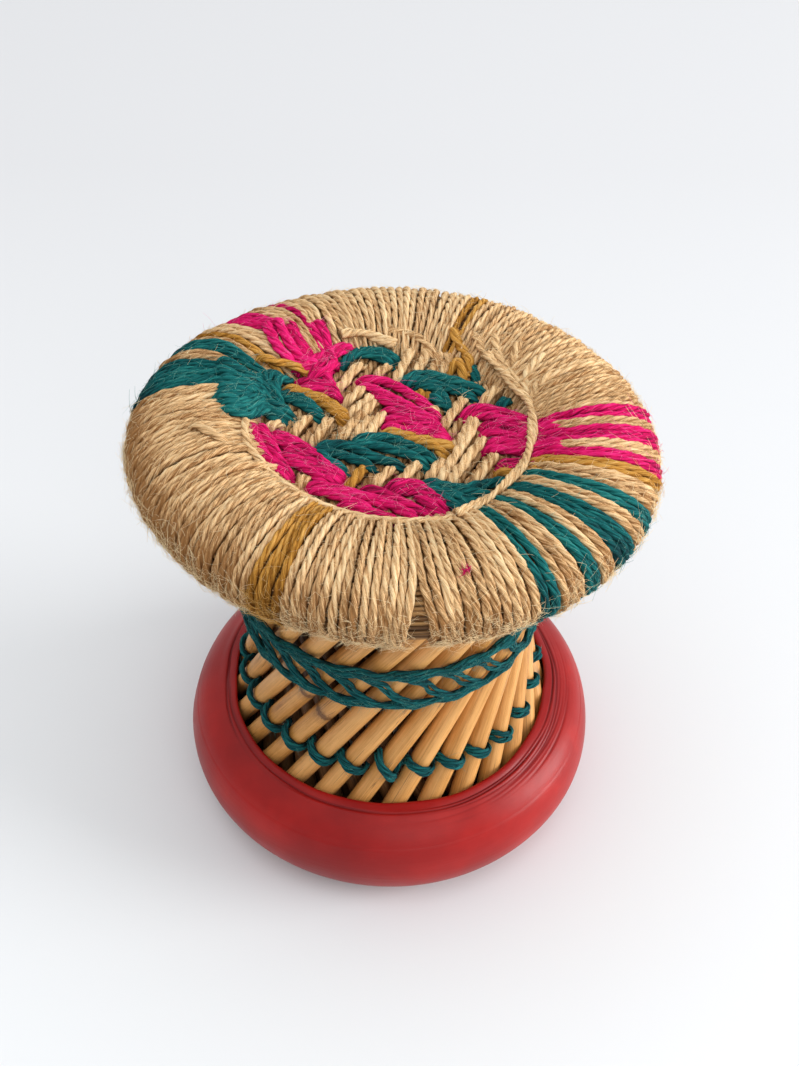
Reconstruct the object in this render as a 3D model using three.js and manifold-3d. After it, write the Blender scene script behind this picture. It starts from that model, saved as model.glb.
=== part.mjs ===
// A mudda stool: a cage of slanted canes between a rope-wound rim and a padded ring.
// Millimetres, +Z up. The origin is on the floor, on the stool's axis. The front is at -Y.

import * as THREE from "three";
import { mergeVertices } from "three/addons/utils/BufferGeometryUtils.js";
import Module from "manifold-3d";

const wasm = await Module();
wasm.setup();

// Clearances between pieces that touch, and between the two ends of tubes that meet.
const seatGap = 0.3;
const layerGap = 0.4;
const tubeEndGap = 0.5;

// Facets of turned rings and of canes.
const ringFacets = 44;
const outerCaneFacets = 10;
const innerCaneFacets = 8;

// Cage: two layers of straight canes that lean opposite ways. Both are narrowest at the
// waist, midway between the foot and the top of the canes.
const caneCount = 28;
const groupCaneCount = 4;
const outerCaneEndRadius = 112.2;
const outerCaneRadius = 6.75;
const innerCaneRadius = 5.75;
const waistCaneGap = 2.84;
const caneFootHeight = 32;
const caneTopDrop = 5;

// Rim: an oval section on a ring, and the rope wound round it.
const rimMiddleInset = 1.7;
const rimMiddleHeight = 273;
const rimHalfWidth = 39.5;
const rimHalfHeight = 24;
const leastReedDepth = 3;
const ropeRadius = 2.6;
const ropeStepSlack = 0.5;
const ropeStepCount = 16;
const ropeSideCount = 5;

// Seat: a woven web of two crossing rope layers that lies in the rim's inner slope.
const seatTopRise = 16.5;
const seatThickness = 10;
const seatSag = 3;

// Waist binding: two bands of two turns each, and the lacing between them.
const bandCordRadius = 2.1;
const bandTurnCount = 2;
const bandPitch = 4.8;
const lowerBandRise = 7.4;
const upperBandRise = 36;
const lacingCordRadius = 1.7;
const lacingCount = 14;
const lacingStepSlack = 0.4;
const lacingEndSlack = 1;

// Lower tie: one cord that loops round each outer cane.
const tieRise = 21.4;
const tieCordRadius = 1.6;
const tieStepSlack = 0.25;
const tieUTurnDepth = 9;
const innerTieCordRadius = 1.7;
const innerTieBite = 2.3;

// Base ring: a rubber cover round three reed bundles.
const baseMiddleInset = 9.4;
const baseHalfWidth = 31.7;
const baseHalfHeight = 38.2;
const baseFlatDepth = 0.8;
const rubberWall = 3;
const lipFoldDepth = 4.5;
const lipRounding = 0.8;
const innerLipDrop = 13.6;
const coverStepSlack = 1;
const outerBundleDrop = 1.6;
const innerBundleDrop = 4;

// Fullness of an oval section: 2 is an ellipse, more is squarer.
const rimFullnessShare = 2;
const baseFullnessShare = 2.2;

const fullTurn = 2 * Math.PI;
const canePitch = fullTurn / caneCount;
const facetRise = 1 / Math.cos(Math.PI / ringFacets);

const caneTopHeight = rimMiddleHeight - caneTopDrop;
const waistHeight = (caneFootHeight + caneTopHeight) / 2;
const caneRun = caneTopHeight - waistHeight;

// Slope that takes a straight cane from the waist radius to its end radius.
function leanOf(waistRadius, endRadius) {
  return Math.sqrt(endRadius ** 2 - waistRadius ** 2) / caneRun;
}

// The outer canes stand side by side at the waist, a gap apart, square to themselves.
const waistStep = 2 * outerCaneRadius + waistCaneGap;
const outerWaistRadius = waistStep * Math.sqrt(
  (1 + (outerCaneEndRadius / caneRun) ** 2) / (canePitch ** 2 + (waistStep / caneRun) ** 2),
);
const outerLayer = {
  waistRadius: outerWaistRadius,
  caneRadius: outerCaneRadius,
  facets: outerCaneFacets,
  lean: leanOf(outerWaistRadius, outerCaneEndRadius),
};

// The inner canes touch the outer ones from the waist to the ends, but for the gap.
const bothCaneRadii = outerCaneRadius + innerCaneRadius;
const endSlope = outerLayer.lean ** 2 * (caneRun / outerCaneEndRadius);
const innerWaistRadius = outerWaistRadius - bothCaneRadii - layerGap;
const innerEndRadius = outerCaneEndRadius - bothCaneRadii * Math.hypot(1, endSlope) - layerGap;
const innerLayer = {
  waistRadius: innerWaistRadius,
  caneRadius: innerCaneRadius,
  facets: innerCaneFacets,
  lean: -leanOf(innerWaistRadius, innerEndRadius),
};

// Sections, each with its middle, half sizes and fullness.
const coreInset = 2 * ropeRadius + seatGap + ropeStepSlack;
const rimSection = {
  radius: outerCaneEndRadius - rimMiddleInset,
  height: rimMiddleHeight,
  halfWidth: rimHalfWidth,
  halfHeight: rimHalfHeight,
  fullness: rimFullnessShare,
};
const baseSection = {
  radius: outerCaneEndRadius - baseMiddleInset,
  height: baseHalfHeight - baseFlatDepth,
  halfWidth: baseHalfWidth,
  halfHeight: baseHalfHeight,
  fullness: baseFullnessShare,
};

const baseTopHeight = baseSection.height + baseSection.halfHeight;
const tieHeight = baseTopHeight + tieRise;

function inset(section, depth) {
  return {
    ...section,
    halfWidth: section.halfWidth - depth,
    halfHeight: section.halfHeight - depth,
  };
}

// Radius of a section's edge at a height, on its outer (+1) or inner (-1) side.
function edgeRadius(section, height, side) {
  const rise = Math.min(1, Math.abs(height - section.height) / section.halfHeight);
  const reach = (1 - rise ** section.fullness) ** (1 / section.fullness);
  return section.radius + side * section.halfWidth * reach;
}

// A point of a section's edge, turning from the outer side upwards.
function edgePoint(section, angle) {
  const power = 2 / section.fullness;
  const across = Math.sign(Math.cos(angle)) * Math.abs(Math.cos(angle)) ** power;
  const up = Math.sign(Math.sin(angle)) * Math.abs(Math.sin(angle)) ** power;
  const radius = section.radius + section.halfWidth * across;
  return new THREE.Vector2(radius, section.height + section.halfHeight * up);
}

// A cane runs straight past the axis, so its layer is a waisted surface.
function layerRadius(layer, height) {
  return Math.hypot(layer.waistRadius, layer.lean * (height - waistHeight));
}

// Angle that a cane has turned round the axis at a height, counted from its waist.
function layerTurn(layer, height) {
  return Math.atan2(layer.lean * (height - waistHeight), layer.waistRadius);
}

// Radius of a layer's outer (+1) or inner (-1) face at a height.
function faceRadius(layer, height, side) {
  const radius = layerRadius(layer, height);
  const slope = (layer.lean ** 2 * (height - waistHeight)) / radius;
  return radius + side * layer.caneRadius * Math.sqrt(1 + slope ** 2);
}

function ringPoint(radius, azimuth, height) {
  return new THREE.Vector3(radius * Math.cos(azimuth), radius * Math.sin(azimuth), height);
}

function caneAxis(layer, azimuth) {
  const along = new THREE.Vector3(-Math.sin(azimuth), Math.cos(azimuth), 0);
  along.multiplyScalar(layer.lean);
  along.z = 1;
  return along.normalize();
}

function canePoint(layer, azimuth, height) {
  const point = ringPoint(layer.waistRadius, azimuth, height);
  const run = layer.lean * (height - waistHeight);
  return point.add(new THREE.Vector3(-run * Math.sin(azimuth), run * Math.cos(azimuth), 0));
}

// Waist azimuths: an outer cane meets the tie near the front, and the inner canes
// stand behind the outer ones where the rim's rope passes between them.
const ropePassHeight = rimMiddleHeight
  - (rimHalfHeight - ropeRadius) * Math.cos(Math.PI / ropeStepCount);
const frontAzimuth = -Math.PI / 2;
const frontCaneShare = -0.08;
const outerStart = frontAzimuth + frontCaneShare * canePitch - layerTurn(outerLayer, tieHeight);
const ropePassTurn = layerTurn(outerLayer, ropePassHeight);
const innerStart = outerStart + ropePassTurn - layerTurn(innerLayer, ropePassHeight);

// Joins rings of points, all of one length, into a closed solid with flat ends.
function skinSolid(rings) {
  const sides = rings[0].length;
  const positions = rings.flat().flatMap((point) => point.toArray());
  const index = [];
  for (let ring = 0; ring + 1 < rings.length; ring += 1) {
    for (let side = 0; side < sides; side += 1) {
      const next = (side + 1) % sides;
      const low = ring * sides;
      const high = low + sides;
      index.push(low + side, low + next, high + next);
      index.push(low + side, high + next, high + side);
    }
  }
  const last = (rings.length - 1) * sides;
  for (let side = 1; side + 1 < sides; side += 1) {
    index.push(0, side + 1, side);
    index.push(last, last + side, last + side + 1);
  }
  const geometry = new THREE.BufferGeometry();
  geometry.setAttribute("position", new THREE.Float32BufferAttribute(positions, 3));
  geometry.setIndex(index);
  return facedOut(geometry);
}

// Turns a closed surface so that its faces point out.
function facedOut(geometry) {
  const place = geometry.getAttribute("position");
  const index = geometry.getIndex().array;
  const [a, b, c] = [new THREE.Vector3(), new THREE.Vector3(), new THREE.Vector3()];
  let volume = 0;
  for (let at = 0; at < index.length; at += 3) {
    a.fromBufferAttribute(place, index[at]);
    b.fromBufferAttribute(place, index[at + 1]);
    c.fromBufferAttribute(place, index[at + 2]);
    volume += a.dot(b.cross(c));
  }
  if (volume < 0) {
    geometry.setIndex(Array.from(index).reverse());
  }
  geometry.computeVertexNormals();
  return geometry;
}

// Sweeps a round section along points. The section is carried along without twist.
function tubeSolid(points, radius, sides) {
  const last = points.length - 1;
  const across = new THREE.Vector3();
  const rings = points.map((point, at) => {
    const before = points[Math.max(0, at - 1)];
    const after = points[Math.min(last, at + 1)];
    const along = after.clone().sub(before).normalize();
    if (at === 0) {
      across.set(-along.z, along.x, along.y).cross(along);
    }
    across.addScaledVector(along, -across.dot(along)).normalize();
    const third = along.clone().cross(across);
    return Array.from({ length: sides }, (unused, side) => {
      const angle = (fullTurn * side) / sides;
      const corner = point.clone().addScaledVector(across, radius * Math.cos(angle));
      return corner.addScaledVector(third, radius * Math.sin(angle));
    });
  });
  return skinSolid(rings);
}

// Least free gap of a tube to itself, between points at least a loop's share apart.
function selfGap(points, radius, apart) {
  let least = Infinity;
  const between = new THREE.Vector3();
  const places = points.flatMap((point, at) => {
    const next = points[Math.min(points.length - 1, at + 1)];
    return [point, between.clone().lerpVectors(point, next, 1 / 2)];
  });
  for (let one = 0; one < places.length; one += 1) {
    for (let two = one + 2 * apart; two < places.length; two += 1) {
      least = Math.min(least, places[one].distanceTo(places[two]));
    }
  }
  return least - 2 * radius;
}

// Turns a closed profile of radius and height round the stool's axis.
function turned(profile) {
  const closed = [...profile, profile[0]];
  const lathe = new THREE.LatheGeometry(closed, ringFacets);
  lathe.rotateX(Math.PI / 2);
  lathe.deleteAttribute("normal");
  lathe.deleteAttribute("uv");
  return facedOut(mergeVertices(lathe));
}

// A ring of reeds between two edges, each given as a radius for a height.
function bundleRing(heights, outerEdge, innerEdge) {
  const outside = heights.map((height) => new THREE.Vector2(outerEdge(height), height));
  const inside = heights.map((height) => new THREE.Vector2(innerEdge(height), height));
  return turned([...outside, ...inside.reverse()]);
}

function between(low, high, shares) {
  return shares.map((share) => low + (high - low) * share);
}

function toManifold(geometry) {
  const bare = new THREE.BufferGeometry();
  bare.setAttribute("position", geometry.getAttribute("position"));
  bare.setIndex(geometry.getIndex());
  const merged = mergeVertices(bare);
  const vertProperties = new Float32Array(merged.getAttribute("position").array);
  const triVerts = new Uint32Array(merged.getIndex().array);
  return new wasm.Manifold(new wasm.Mesh({ numProp: 3, vertProperties, triVerts }));
}

function joined(geometries) {
  const solid = geometries.map(toManifold).reduce((whole, piece) => whole.add(piece));
  const mesh = solid.getMesh();
  const geometry = new THREE.BufferGeometry();
  geometry.setAttribute("position", new THREE.BufferAttribute(mesh.vertProperties, 3));
  geometry.setIndex(new THREE.BufferAttribute(mesh.triVerts, 1));
  geometry.computeVertexNormals();
  return geometry;
}

const paleCane = new THREE.MeshStandardMaterial({ color: 0xdcaf6e, roughness: 0.45 });
const brownCane = new THREE.MeshStandardMaterial({ color: 0xc79a5c, roughness: 0.5 });
const reed = new THREE.MeshStandardMaterial({ color: 0xb08a55, roughness: 0.7 });
const redRubber = new THREE.MeshStandardMaterial({ color: 0xb03a36, roughness: 0.45 });
const ropeColors = {
  natural: 0xc8aa7d,
  teal: 0x0f5f5f,
  magenta: 0xc80f6e,
  mustard: 0xbe8c3c,
};

function ropeMaterial(color) {
  return new THREE.MeshStandardMaterial({ color: ropeColors[color], roughness: 0.9 });
}

const group = new THREE.Group();
group.name = "mudda_stool";

function addPiece(name, geometry, material) {
  const mesh = new THREE.Mesh(geometry, material.clone());
  mesh.name = name;
  group.add(mesh);
}

// Canes, round in section and cut level at both ends.
function caneSolid(layer, azimuth) {
  const along = caneAxis(layer, azimuth);
  const outward = ringPoint(1, azimuth, 0);
  const sideways = along.clone().cross(outward);
  const ends = [caneFootHeight, caneTopHeight];
  const rings = ends.map((height) => Array.from({ length: layer.facets }, (unused, side) => {
    const angle = (fullTurn * side) / layer.facets;
    const corner = canePoint(layer, azimuth, height);
    corner.addScaledVector(outward, layer.caneRadius * Math.cos(angle));
    corner.addScaledVector(sideways, layer.caneRadius * Math.sin(angle));
    return corner.addScaledVector(along, (height - corner.z) / along.z);
  }));
  return skinSolid(rings);
}

for (let cane = 0; cane < caneCount; cane += 1) {
  const name = `outer_cane_${String(cane + 1).padStart(2, "0")}`;
  addPiece(name, caneSolid(outerLayer, outerStart + cane * canePitch), paleCane);
}

// The tie's inner run bites into the backs of the inner canes that it holds together.
function innerTieRun(firstAzimuth, held) {
  const radius = faceRadius(innerLayer, tieHeight, -1) + innerTieBite - innerTieCordRadius;
  const turn = layerTurn(innerLayer, tieHeight);
  const points = Array.from({ length: 2 * held - 1 }, (unused, step) => {
    const azimuth = firstAzimuth + turn + (step * canePitch) / 2;
    return ringPoint(radius, azimuth, tieHeight);
  });
  return tubeSolid(points, innerTieCordRadius, ropeSideCount);
}

for (let first = 0; first < caneCount; first += groupCaneCount) {
  const azimuth = innerStart + first * canePitch;
  const held = Math.min(groupCaneCount, caneCount - first);
  const canes = Array.from({ length: held }, (unused, at) => (
    caneSolid(innerLayer, azimuth + at * canePitch)
  ));
  const name = `inner_cane_group_${first / groupCaneCount + 1}`;
  addPiece(name, joined([...canes, innerTieRun(azimuth, held)]), brownCane);
}

// Reed bundles of the rim: outside the canes, inside them, and over their ends.
const rimCore = inset(rimSection, coreInset);
const rimCoreFoot = rimCore.height - rimCore.halfHeight;
const outsideCanes = (height) => (faceRadius(outerLayer, height, 1) + seatGap) * facetRise;
const insideCanes = (height) => faceRadius(innerLayer, height, -1) - seatGap;
const coreOutside = (height) => edgeRadius(rimCore, height, 1);
const coreInside = (height) => edgeRadius(rimCore, height, -1) * facetRise;

const bundleStepCount = 24;
const bundleShares = [0, 1 / 3, 1];

// Heights of a bundle between two edges, from where it is first deep enough upwards.
function bundleHeights(outerEdge, innerEdge) {
  const steps = Array.from({ length: bundleStepCount }, (unused, step) => (
    rimCoreFoot + ((caneTopHeight - rimCoreFoot) * step) / bundleStepCount
  ));
  const foot = steps.find((height) => outerEdge(height) - innerEdge(height) > leastReedDepth);
  return between(foot, caneTopHeight, bundleShares);
}

const outerBundleHeights = bundleHeights(coreOutside, outsideCanes);
addPiece("rim_outer_bundle", bundleRing(outerBundleHeights, coreOutside, outsideCanes), reed);

const innerBundleHeights = bundleHeights(insideCanes, coreInside);
addPiece("rim_inner_bundle", bundleRing(innerBundleHeights, insideCanes, coreInside), reed);

const topBundleShares = [0, 0.4, 0.8, 0.97];
const rimCoreTop = rimCore.height + rimCore.halfHeight;
const topBundleHeights = between(caneTopHeight + seatGap, rimCoreTop, topBundleShares);
addPiece("rim_top_bundle", bundleRing(topBundleHeights, coreOutside, coreInside), reed);

// Rim winding: each loop passes under the rim between two canes and moves on by one
// space on its way over the top. Fields of one colour follow each other end to end.
const ropeLine = inset(rimSection, ropeRadius);
const straightPassEndShare = 0.06;
const straightPassStartShare = 0.86;
const firstSpaceShare = -6.5;
const firstSpaceAzimuth = outerStart + ropePassTurn + firstSpaceShare * canePitch;

function smoothShare(value) {
  const share = Math.min(1, Math.max(0, value));
  return share * share * (3 - 2 * share);
}

function ropePassPoint(space, offset) {
  const azimuth = firstSpaceAzimuth + space * canePitch;
  return ringPoint(ropeLine.radius + offset, azimuth, ropePassHeight);
}

function ropeLoop(space) {
  return Array.from({ length: ropeStepCount }, (unused, step) => {
    const share = (step + 1 / 2) / ropeStepCount;
    const edge = edgePoint(ropeLine, share * fullTurn - Math.PI / 2);
    const over = straightPassStartShare - straightPassEndShare;
    const moved = smoothShare((share - straightPassEndShare) / over);
    const azimuth = firstSpaceAzimuth + (space + moved) * canePitch;
    return ringPoint(edge.x, azimuth, edge.y);
  });
}

const ropeFieldShares = [
  ["mustard_front", "mustard", 0, 0.036],
  ["natural_front", "natural", 0.036, 0.143],
  ["teal_right", "teal", 0.143, 0.286],
  ["magenta_right", "magenta", 0.286, 0.357],
  ["natural_right", "natural", 0.357, 0.5],
  ["mustard_back", "mustard", 0.5, 0.536],
  ["natural_back", "natural", 0.536, 0.643],
  ["magenta_left", "magenta", 0.643, 0.714],
  ["teal_left", "teal", 0.714, 0.821],
  ["natural_left", "natural", 0.821, 1],
];

ropeFieldShares.forEach(([name, color, fromShare, toShare]) => {
  const first = Math.round(fromShare * caneCount);
  const last = Math.round(toShare * caneCount);
  const loops = last - first;
  const points = [ropePassPoint(first, tubeEndGap / 2)];
  for (let space = first; space < last; space += 1) {
    points.push(...ropeLoop(space));
  }
  points.push(ropePassPoint(last, -tubeEndGap / 2));
  const solid = tubeSolid(points, ropeRadius, ropeSideCount);
  addPiece(`rim_winding_${name}`, solid, ropeMaterial(color));
  const gap = selfGap(points, ropeRadius, ropeStepCount / 2);
  console.log(`rim_winding_${name}: ${loops} loops, least gap to itself ${gap.toFixed(2)}`);
});

// Seat web: its edge follows the inner slope of the rim.
const seatEdge = inset(rimSection, -seatGap - ropeStepSlack);
const seatEdgeShares = [0, 1 / 3, 2 / 3, 1];
const seatTopHeight = rimMiddleHeight + seatTopRise;
const seatFloorHeight = seatTopHeight - seatThickness;
const seatEdgePoints = between(seatFloorHeight, seatTopHeight, seatEdgeShares).map((height) => (
  new THREE.Vector2(edgeRadius(seatEdge, height, -1), height)
));
const seatTopRadius = seatEdgePoints[seatEdgePoints.length - 1].x;
const seatDipShares = [[0.7, 0.6], [0.35, 1], [0, 1]];
const seatTopPoints = seatDipShares.map(([outward, dip]) => (
  new THREE.Vector2(seatTopRadius * outward, seatTopHeight - seatSag * dip)
));
const seatFloorPoints = [...seatDipShares].reverse().map(([outward, dip]) => (
  new THREE.Vector2(seatEdgePoints[0].x * outward, seatFloorHeight - seatSag * dip)
));
addPiece(
  "seat_web",
  turned([...seatEdgePoints, ...seatTopPoints, ...seatFloorPoints]),
  ropeMaterial("natural"),
);

// Waist bands: each cord point lies over an outer cane, where the cord is highest.
function bandHeight(middle, turns) {
  return middle + (turns - bandTurnCount / 2) * bandPitch;
}

const backCane = caneCount / 2;
const lowerBandHeight = waistHeight + lowerBandRise;
const upperBandHeight = waistHeight + upperBandRise;

function bandAzimuth(height, step) {
  return outerStart + (backCane + step) * canePitch + layerTurn(outerLayer, height);
}

function bandPoints(middle) {
  return Array.from({ length: bandTurnCount * caneCount + 1 }, (unused, step) => {
    const height = bandHeight(middle, step / caneCount);
    const radius = faceRadius(outerLayer, height, 1) + seatGap + bandCordRadius;
    return ringPoint(radius, bandAzimuth(height, step), height);
  });
}

const bands = { waist_lower_band: lowerBandHeight, waist_upper_band: upperBandHeight };
Object.entries(bands).forEach(([name, middle]) => {
  const points = bandPoints(middle);
  addPiece(name, tubeSolid(points, bandCordRadius, ropeSideCount), ropeMaterial("teal"));
  const gap = selfGap(points, bandCordRadius, caneCount / 2);
  console.log(`${name}: ${bandTurnCount} loops, least gap to itself ${gap.toFixed(2)}`);
});

// Lacing: it slants down to the right between the bands and climbs back more steeply.
const lacingDownShares = [0, 0.06, 0.25, 0.5, 0.75, 0.94, 1];
const lacingRoom = bandCordRadius + lacingEndSlack + lacingCordRadius;
const lacingDownTurnShare = 0.72;
const lacingStartAzimuth = bandAzimuth(bandHeight(lowerBandHeight, 0), 0);
const lacingControls = [];
for (let slant = 0; slant < lacingCount; slant += 1) {
  lacingDownShares.slice(1, -1).forEach((down) => {
    const around = (slant + down * lacingDownTurnShare) / lacingCount;
    const floor = bandHeight(lowerBandHeight, around + 1) + lacingRoom;
    const ceiling = bandHeight(upperBandHeight, around) - lacingRoom;
    const height = ceiling + (floor - ceiling) * smoothShare(down);
    const face = faceRadius(outerLayer, height, 1) + seatGap + lacingCordRadius;
    const azimuth = lacingStartAzimuth + around * fullTurn;
    lacingControls.push(ringPoint(face + lacingStepSlack, azimuth, height));
  });
}
const lacingCurve = new THREE.CatmullRomCurve3(lacingControls);
const lacingStepCount = 6;
const lacingPoints = lacingCurve.getPoints(lacingCount * lacingStepCount);
addPiece(
  "waist_lacing",
  tubeSolid(lacingPoints, lacingCordRadius, ropeSideCount),
  ropeMaterial("teal"),
);
const lacingGap = selfGap(lacingPoints, lacingCordRadius, lacingStepCount / 2);
console.log(`waist_lacing: ${lacingCount} slants, least gap to itself ${lacingGap.toFixed(2)}`);

// Lower tie: half a turn round each outer cane, square to it, then a turn back inwards
// through the space to the next cane.
const tieReach = outerCaneRadius + tieCordRadius + tieStepSlack + seatGap;
const tieTurnShares = [-0.5, -0.34, -0.17, 0, 0.17, 0.34, 0.5];
const tiePoints = [];
for (let cane = 0; cane < caneCount; cane += 1) {
  const azimuth = outerStart + cane * canePitch;
  const middle = canePoint(outerLayer, azimuth, tieHeight);
  const along = caneAxis(outerLayer, azimuth);
  const outward = ringPoint(1, azimuth + layerTurn(outerLayer, tieHeight), 0);
  outward.addScaledVector(along, -outward.dot(along)).normalize();
  const sideways = along.clone().cross(outward);
  tieTurnShares.forEach((share) => {
    const angle = share * Math.PI;
    const point = middle.clone().addScaledVector(outward, tieReach * Math.cos(angle));
    tiePoints.push(point.addScaledVector(sideways, tieReach * Math.sin(angle)));
  });
  const spaceAzimuth = azimuth + canePitch / 2 + layerTurn(outerLayer, tieHeight);
  const turnRadius = faceRadius(outerLayer, tieHeight, 1) - tieUTurnDepth;
  tiePoints.push(ringPoint(turnRadius, spaceAzimuth, tieHeight));
}
tiePoints.pop();
addPiece(
  "lower_tie_cord",
  tubeSolid(tiePoints, tieCordRadius, ropeSideCount),
  ropeMaterial("teal"),
);
const tieGap = selfGap(tiePoints, tieCordRadius, tieTurnShares.length - 1);
console.log(`lower_tie_cord: ${caneCount} loops, least gap to itself ${tieGap.toFixed(2)}`);

// Rubber cover: a wall from the outer lip, round under the ring, to the inner lip.
const innerLipHeight = baseTopHeight - innerLipDrop;
const outerLipAngle = 0.455 * Math.PI;
const coverStepShares = [0, 0.09, 0.18, 0.27, 0.36, 0.42, 0.47, 0.53, 0.58, 0.64, 0.73, 0.82, 0.91];

function coverWall(section, floor) {
  const points = coverStepShares.map((share) => {
    const point = edgePoint(section, outerLipAngle - share * (Math.PI + 2 * outerLipAngle));
    point.y = Math.max(floor, point.y);
    return point;
  });
  const outer = points.filter((point) => point.x > section.radius || point.y < innerLipHeight);
  const lip = new THREE.Vector2(edgeRadius(section, innerLipHeight, -1), innerLipHeight);
  return [...outer, lip];
}

const lipFootHeight = baseTopHeight - lipFoldDepth;
const lipCrestHeight = baseTopHeight - lipRounding;
const lipPoints = [
  new THREE.Vector2(outsideCanes(lipFootHeight), lipFootHeight),
  new THREE.Vector2(outsideCanes(lipCrestHeight), lipCrestHeight),
  new THREE.Vector2(outsideCanes(baseTopHeight) + lipRounding, baseTopHeight),
];
const coverOutside = coverWall(baseSection, 0);
const coverInside = coverWall(inset(baseSection, rubberWall), rubberWall);
addPiece("rubber_cover", turned([...lipPoints, ...coverOutside, ...coverInside.reverse()]), redRubber);

// Reed bundles in the cover: outside the canes, inside them, and under their feet.
const baseCore = inset(baseSection, rubberWall + seatGap + coverStepSlack);
const baseOutside = (height) => edgeRadius(baseCore, height, 1);
const baseInside = (height) => edgeRadius(baseCore, height, -1) * facetRise;
const baseShares = [0, 0.55, 1];

const outerBundleTop = lipFootHeight - outerBundleDrop;
const baseOuterHeights = between(caneFootHeight, outerBundleTop, baseShares);
addPiece("base_outer_bundle", bundleRing(baseOuterHeights, baseOutside, outsideCanes), reed);

const innerBundleTop = innerLipHeight - innerBundleDrop;
const baseInnerHeights = between(caneFootHeight, innerBundleTop, baseShares);
addPiece("base_inner_bundle", bundleRing(baseInnerHeights, insideCanes, baseInside), reed);

const baseLowerHeights = between(rubberWall + seatGap, caneFootHeight - seatGap, baseShares);
addPiece("base_lower_bundle", bundleRing(baseLowerHeights, baseOutside, baseInside), reed);

export default group;
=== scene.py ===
# Looks of the mudda stool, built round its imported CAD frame.
# Sizes are in millimetres and are turned to metres where a mesh is made.

import math

import bpy
import numpy as np
from mathutils import Matrix, Vector


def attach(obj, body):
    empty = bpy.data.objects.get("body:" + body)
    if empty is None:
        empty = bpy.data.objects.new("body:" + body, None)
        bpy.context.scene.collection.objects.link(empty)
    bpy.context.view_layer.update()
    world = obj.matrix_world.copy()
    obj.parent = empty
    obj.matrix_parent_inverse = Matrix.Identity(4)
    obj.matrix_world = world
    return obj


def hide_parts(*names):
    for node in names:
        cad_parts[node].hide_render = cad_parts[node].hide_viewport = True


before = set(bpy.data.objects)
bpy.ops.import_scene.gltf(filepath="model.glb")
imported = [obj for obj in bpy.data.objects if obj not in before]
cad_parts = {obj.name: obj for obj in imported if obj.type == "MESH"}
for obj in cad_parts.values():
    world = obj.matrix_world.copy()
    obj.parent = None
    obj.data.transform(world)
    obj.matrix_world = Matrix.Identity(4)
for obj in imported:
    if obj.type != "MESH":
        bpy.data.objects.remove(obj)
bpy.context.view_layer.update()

METRES = 0.001
TAU = 2 * math.pi
rng = np.random.default_rng(11)

# Sizes of the frame, as in the CAD source
CANE_COUNT = 28
GROUP_CANES = 4
CANE_END_RADIUS = 112.2
OUTER_CANE_RADIUS = 6.75
INNER_CANE_RADIUS = 5.75
WAIST_CANE_GAP = 2.84
LAYER_GAP = 0.4
CANE_FOOT = 32
RIM_HEIGHT = 273
CANE_TOP = RIM_HEIGHT - 5
RIM_RADIUS = CANE_END_RADIUS - 1.7
RIM_HALF_WIDTH = 39.5
RIM_HALF_HEIGHT = 24
ROPE_RADIUS = 2.6
ROPE_STEPS = 16
BASE_RADIUS = CANE_END_RADIUS - 9.4
BASE_HALF_WIDTH = 31.7
BASE_HALF_HEIGHT = 38.2
BASE_FLAT = 0.8
BASE_HEIGHT = BASE_HALF_HEIGHT - BASE_FLAT
BASE_TOP = BASE_HEIGHT + BASE_HALF_HEIGHT
BASE_FULLNESS = 2.2
WAIST = (CANE_FOOT + CANE_TOP) / 2
CANE_RUN = CANE_TOP - WAIST
TIE_HEIGHT = BASE_TOP + 21.4
LOWER_BAND = WAIST + 7.4
UPPER_BAND = WAIST + 36
PITCH = TAU / CANE_COUNT


def lean_of(waist_radius, end_radius):
    return math.sqrt(end_radius**2 - waist_radius**2) / CANE_RUN


WAIST_STEP = 2 * OUTER_CANE_RADIUS + WAIST_CANE_GAP
OUTER_WAIST = WAIST_STEP * math.sqrt(
    (1 + (CANE_END_RADIUS / CANE_RUN) ** 2) / (PITCH**2 + (WAIST_STEP / CANE_RUN) ** 2)
)
OUTER_LEAN = lean_of(OUTER_WAIST, CANE_END_RADIUS)
BOTH_CANES = OUTER_CANE_RADIUS + INNER_CANE_RADIUS
END_SLOPE = OUTER_LEAN**2 * CANE_RUN / CANE_END_RADIUS
INNER_WAIST = OUTER_WAIST - BOTH_CANES - LAYER_GAP
INNER_END = CANE_END_RADIUS - BOTH_CANES * math.hypot(1, END_SLOPE) - LAYER_GAP
INNER_LEAN = -lean_of(INNER_WAIST, INNER_END)
# Each layer of canes: radius at the waist, lean, and radius of a cane.
OUTER = (OUTER_WAIST, OUTER_LEAN, OUTER_CANE_RADIUS)
INNER = (INNER_WAIST, INNER_LEAN, INNER_CANE_RADIUS)


def layer_radius(layer, height):
    return np.hypot(layer[0], layer[1] * (height - WAIST))


def layer_turn(layer, height):
    return np.arctan2(layer[1] * (height - WAIST), layer[0])


def face_radius(layer, height, side):
    """Radius of a layer's outer face, with side 1, or of its inner face, with side -1."""
    radius = layer_radius(layer, height)
    slope = layer[1] ** 2 * (height - WAIST) / radius
    return radius + side * layer[2] * np.sqrt(1 + slope**2)


ROPE_PASS = RIM_HEIGHT - (RIM_HALF_HEIGHT - ROPE_RADIUS) * math.cos(math.pi / ROPE_STEPS)
OUTER_START = -math.pi / 2 - 0.08 * PITCH - layer_turn(OUTER, TIE_HEIGHT)
PASS_TURN = layer_turn(OUTER, ROPE_PASS)
INNER_START = OUTER_START + PASS_TURN - layer_turn(INNER, ROPE_PASS)
FIRST_SPACE = OUTER_START + PASS_TURN - 6.5 * PITCH

# How use has changed the shape. The winding sits a little lower at the right and at the back. It is
# wider than round, and flatter at the back.
RIM_TILT = np.array([-0.024, -0.018])
SIDE_SWELL = 0.014
BACK_DRAW = 0.018
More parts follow.
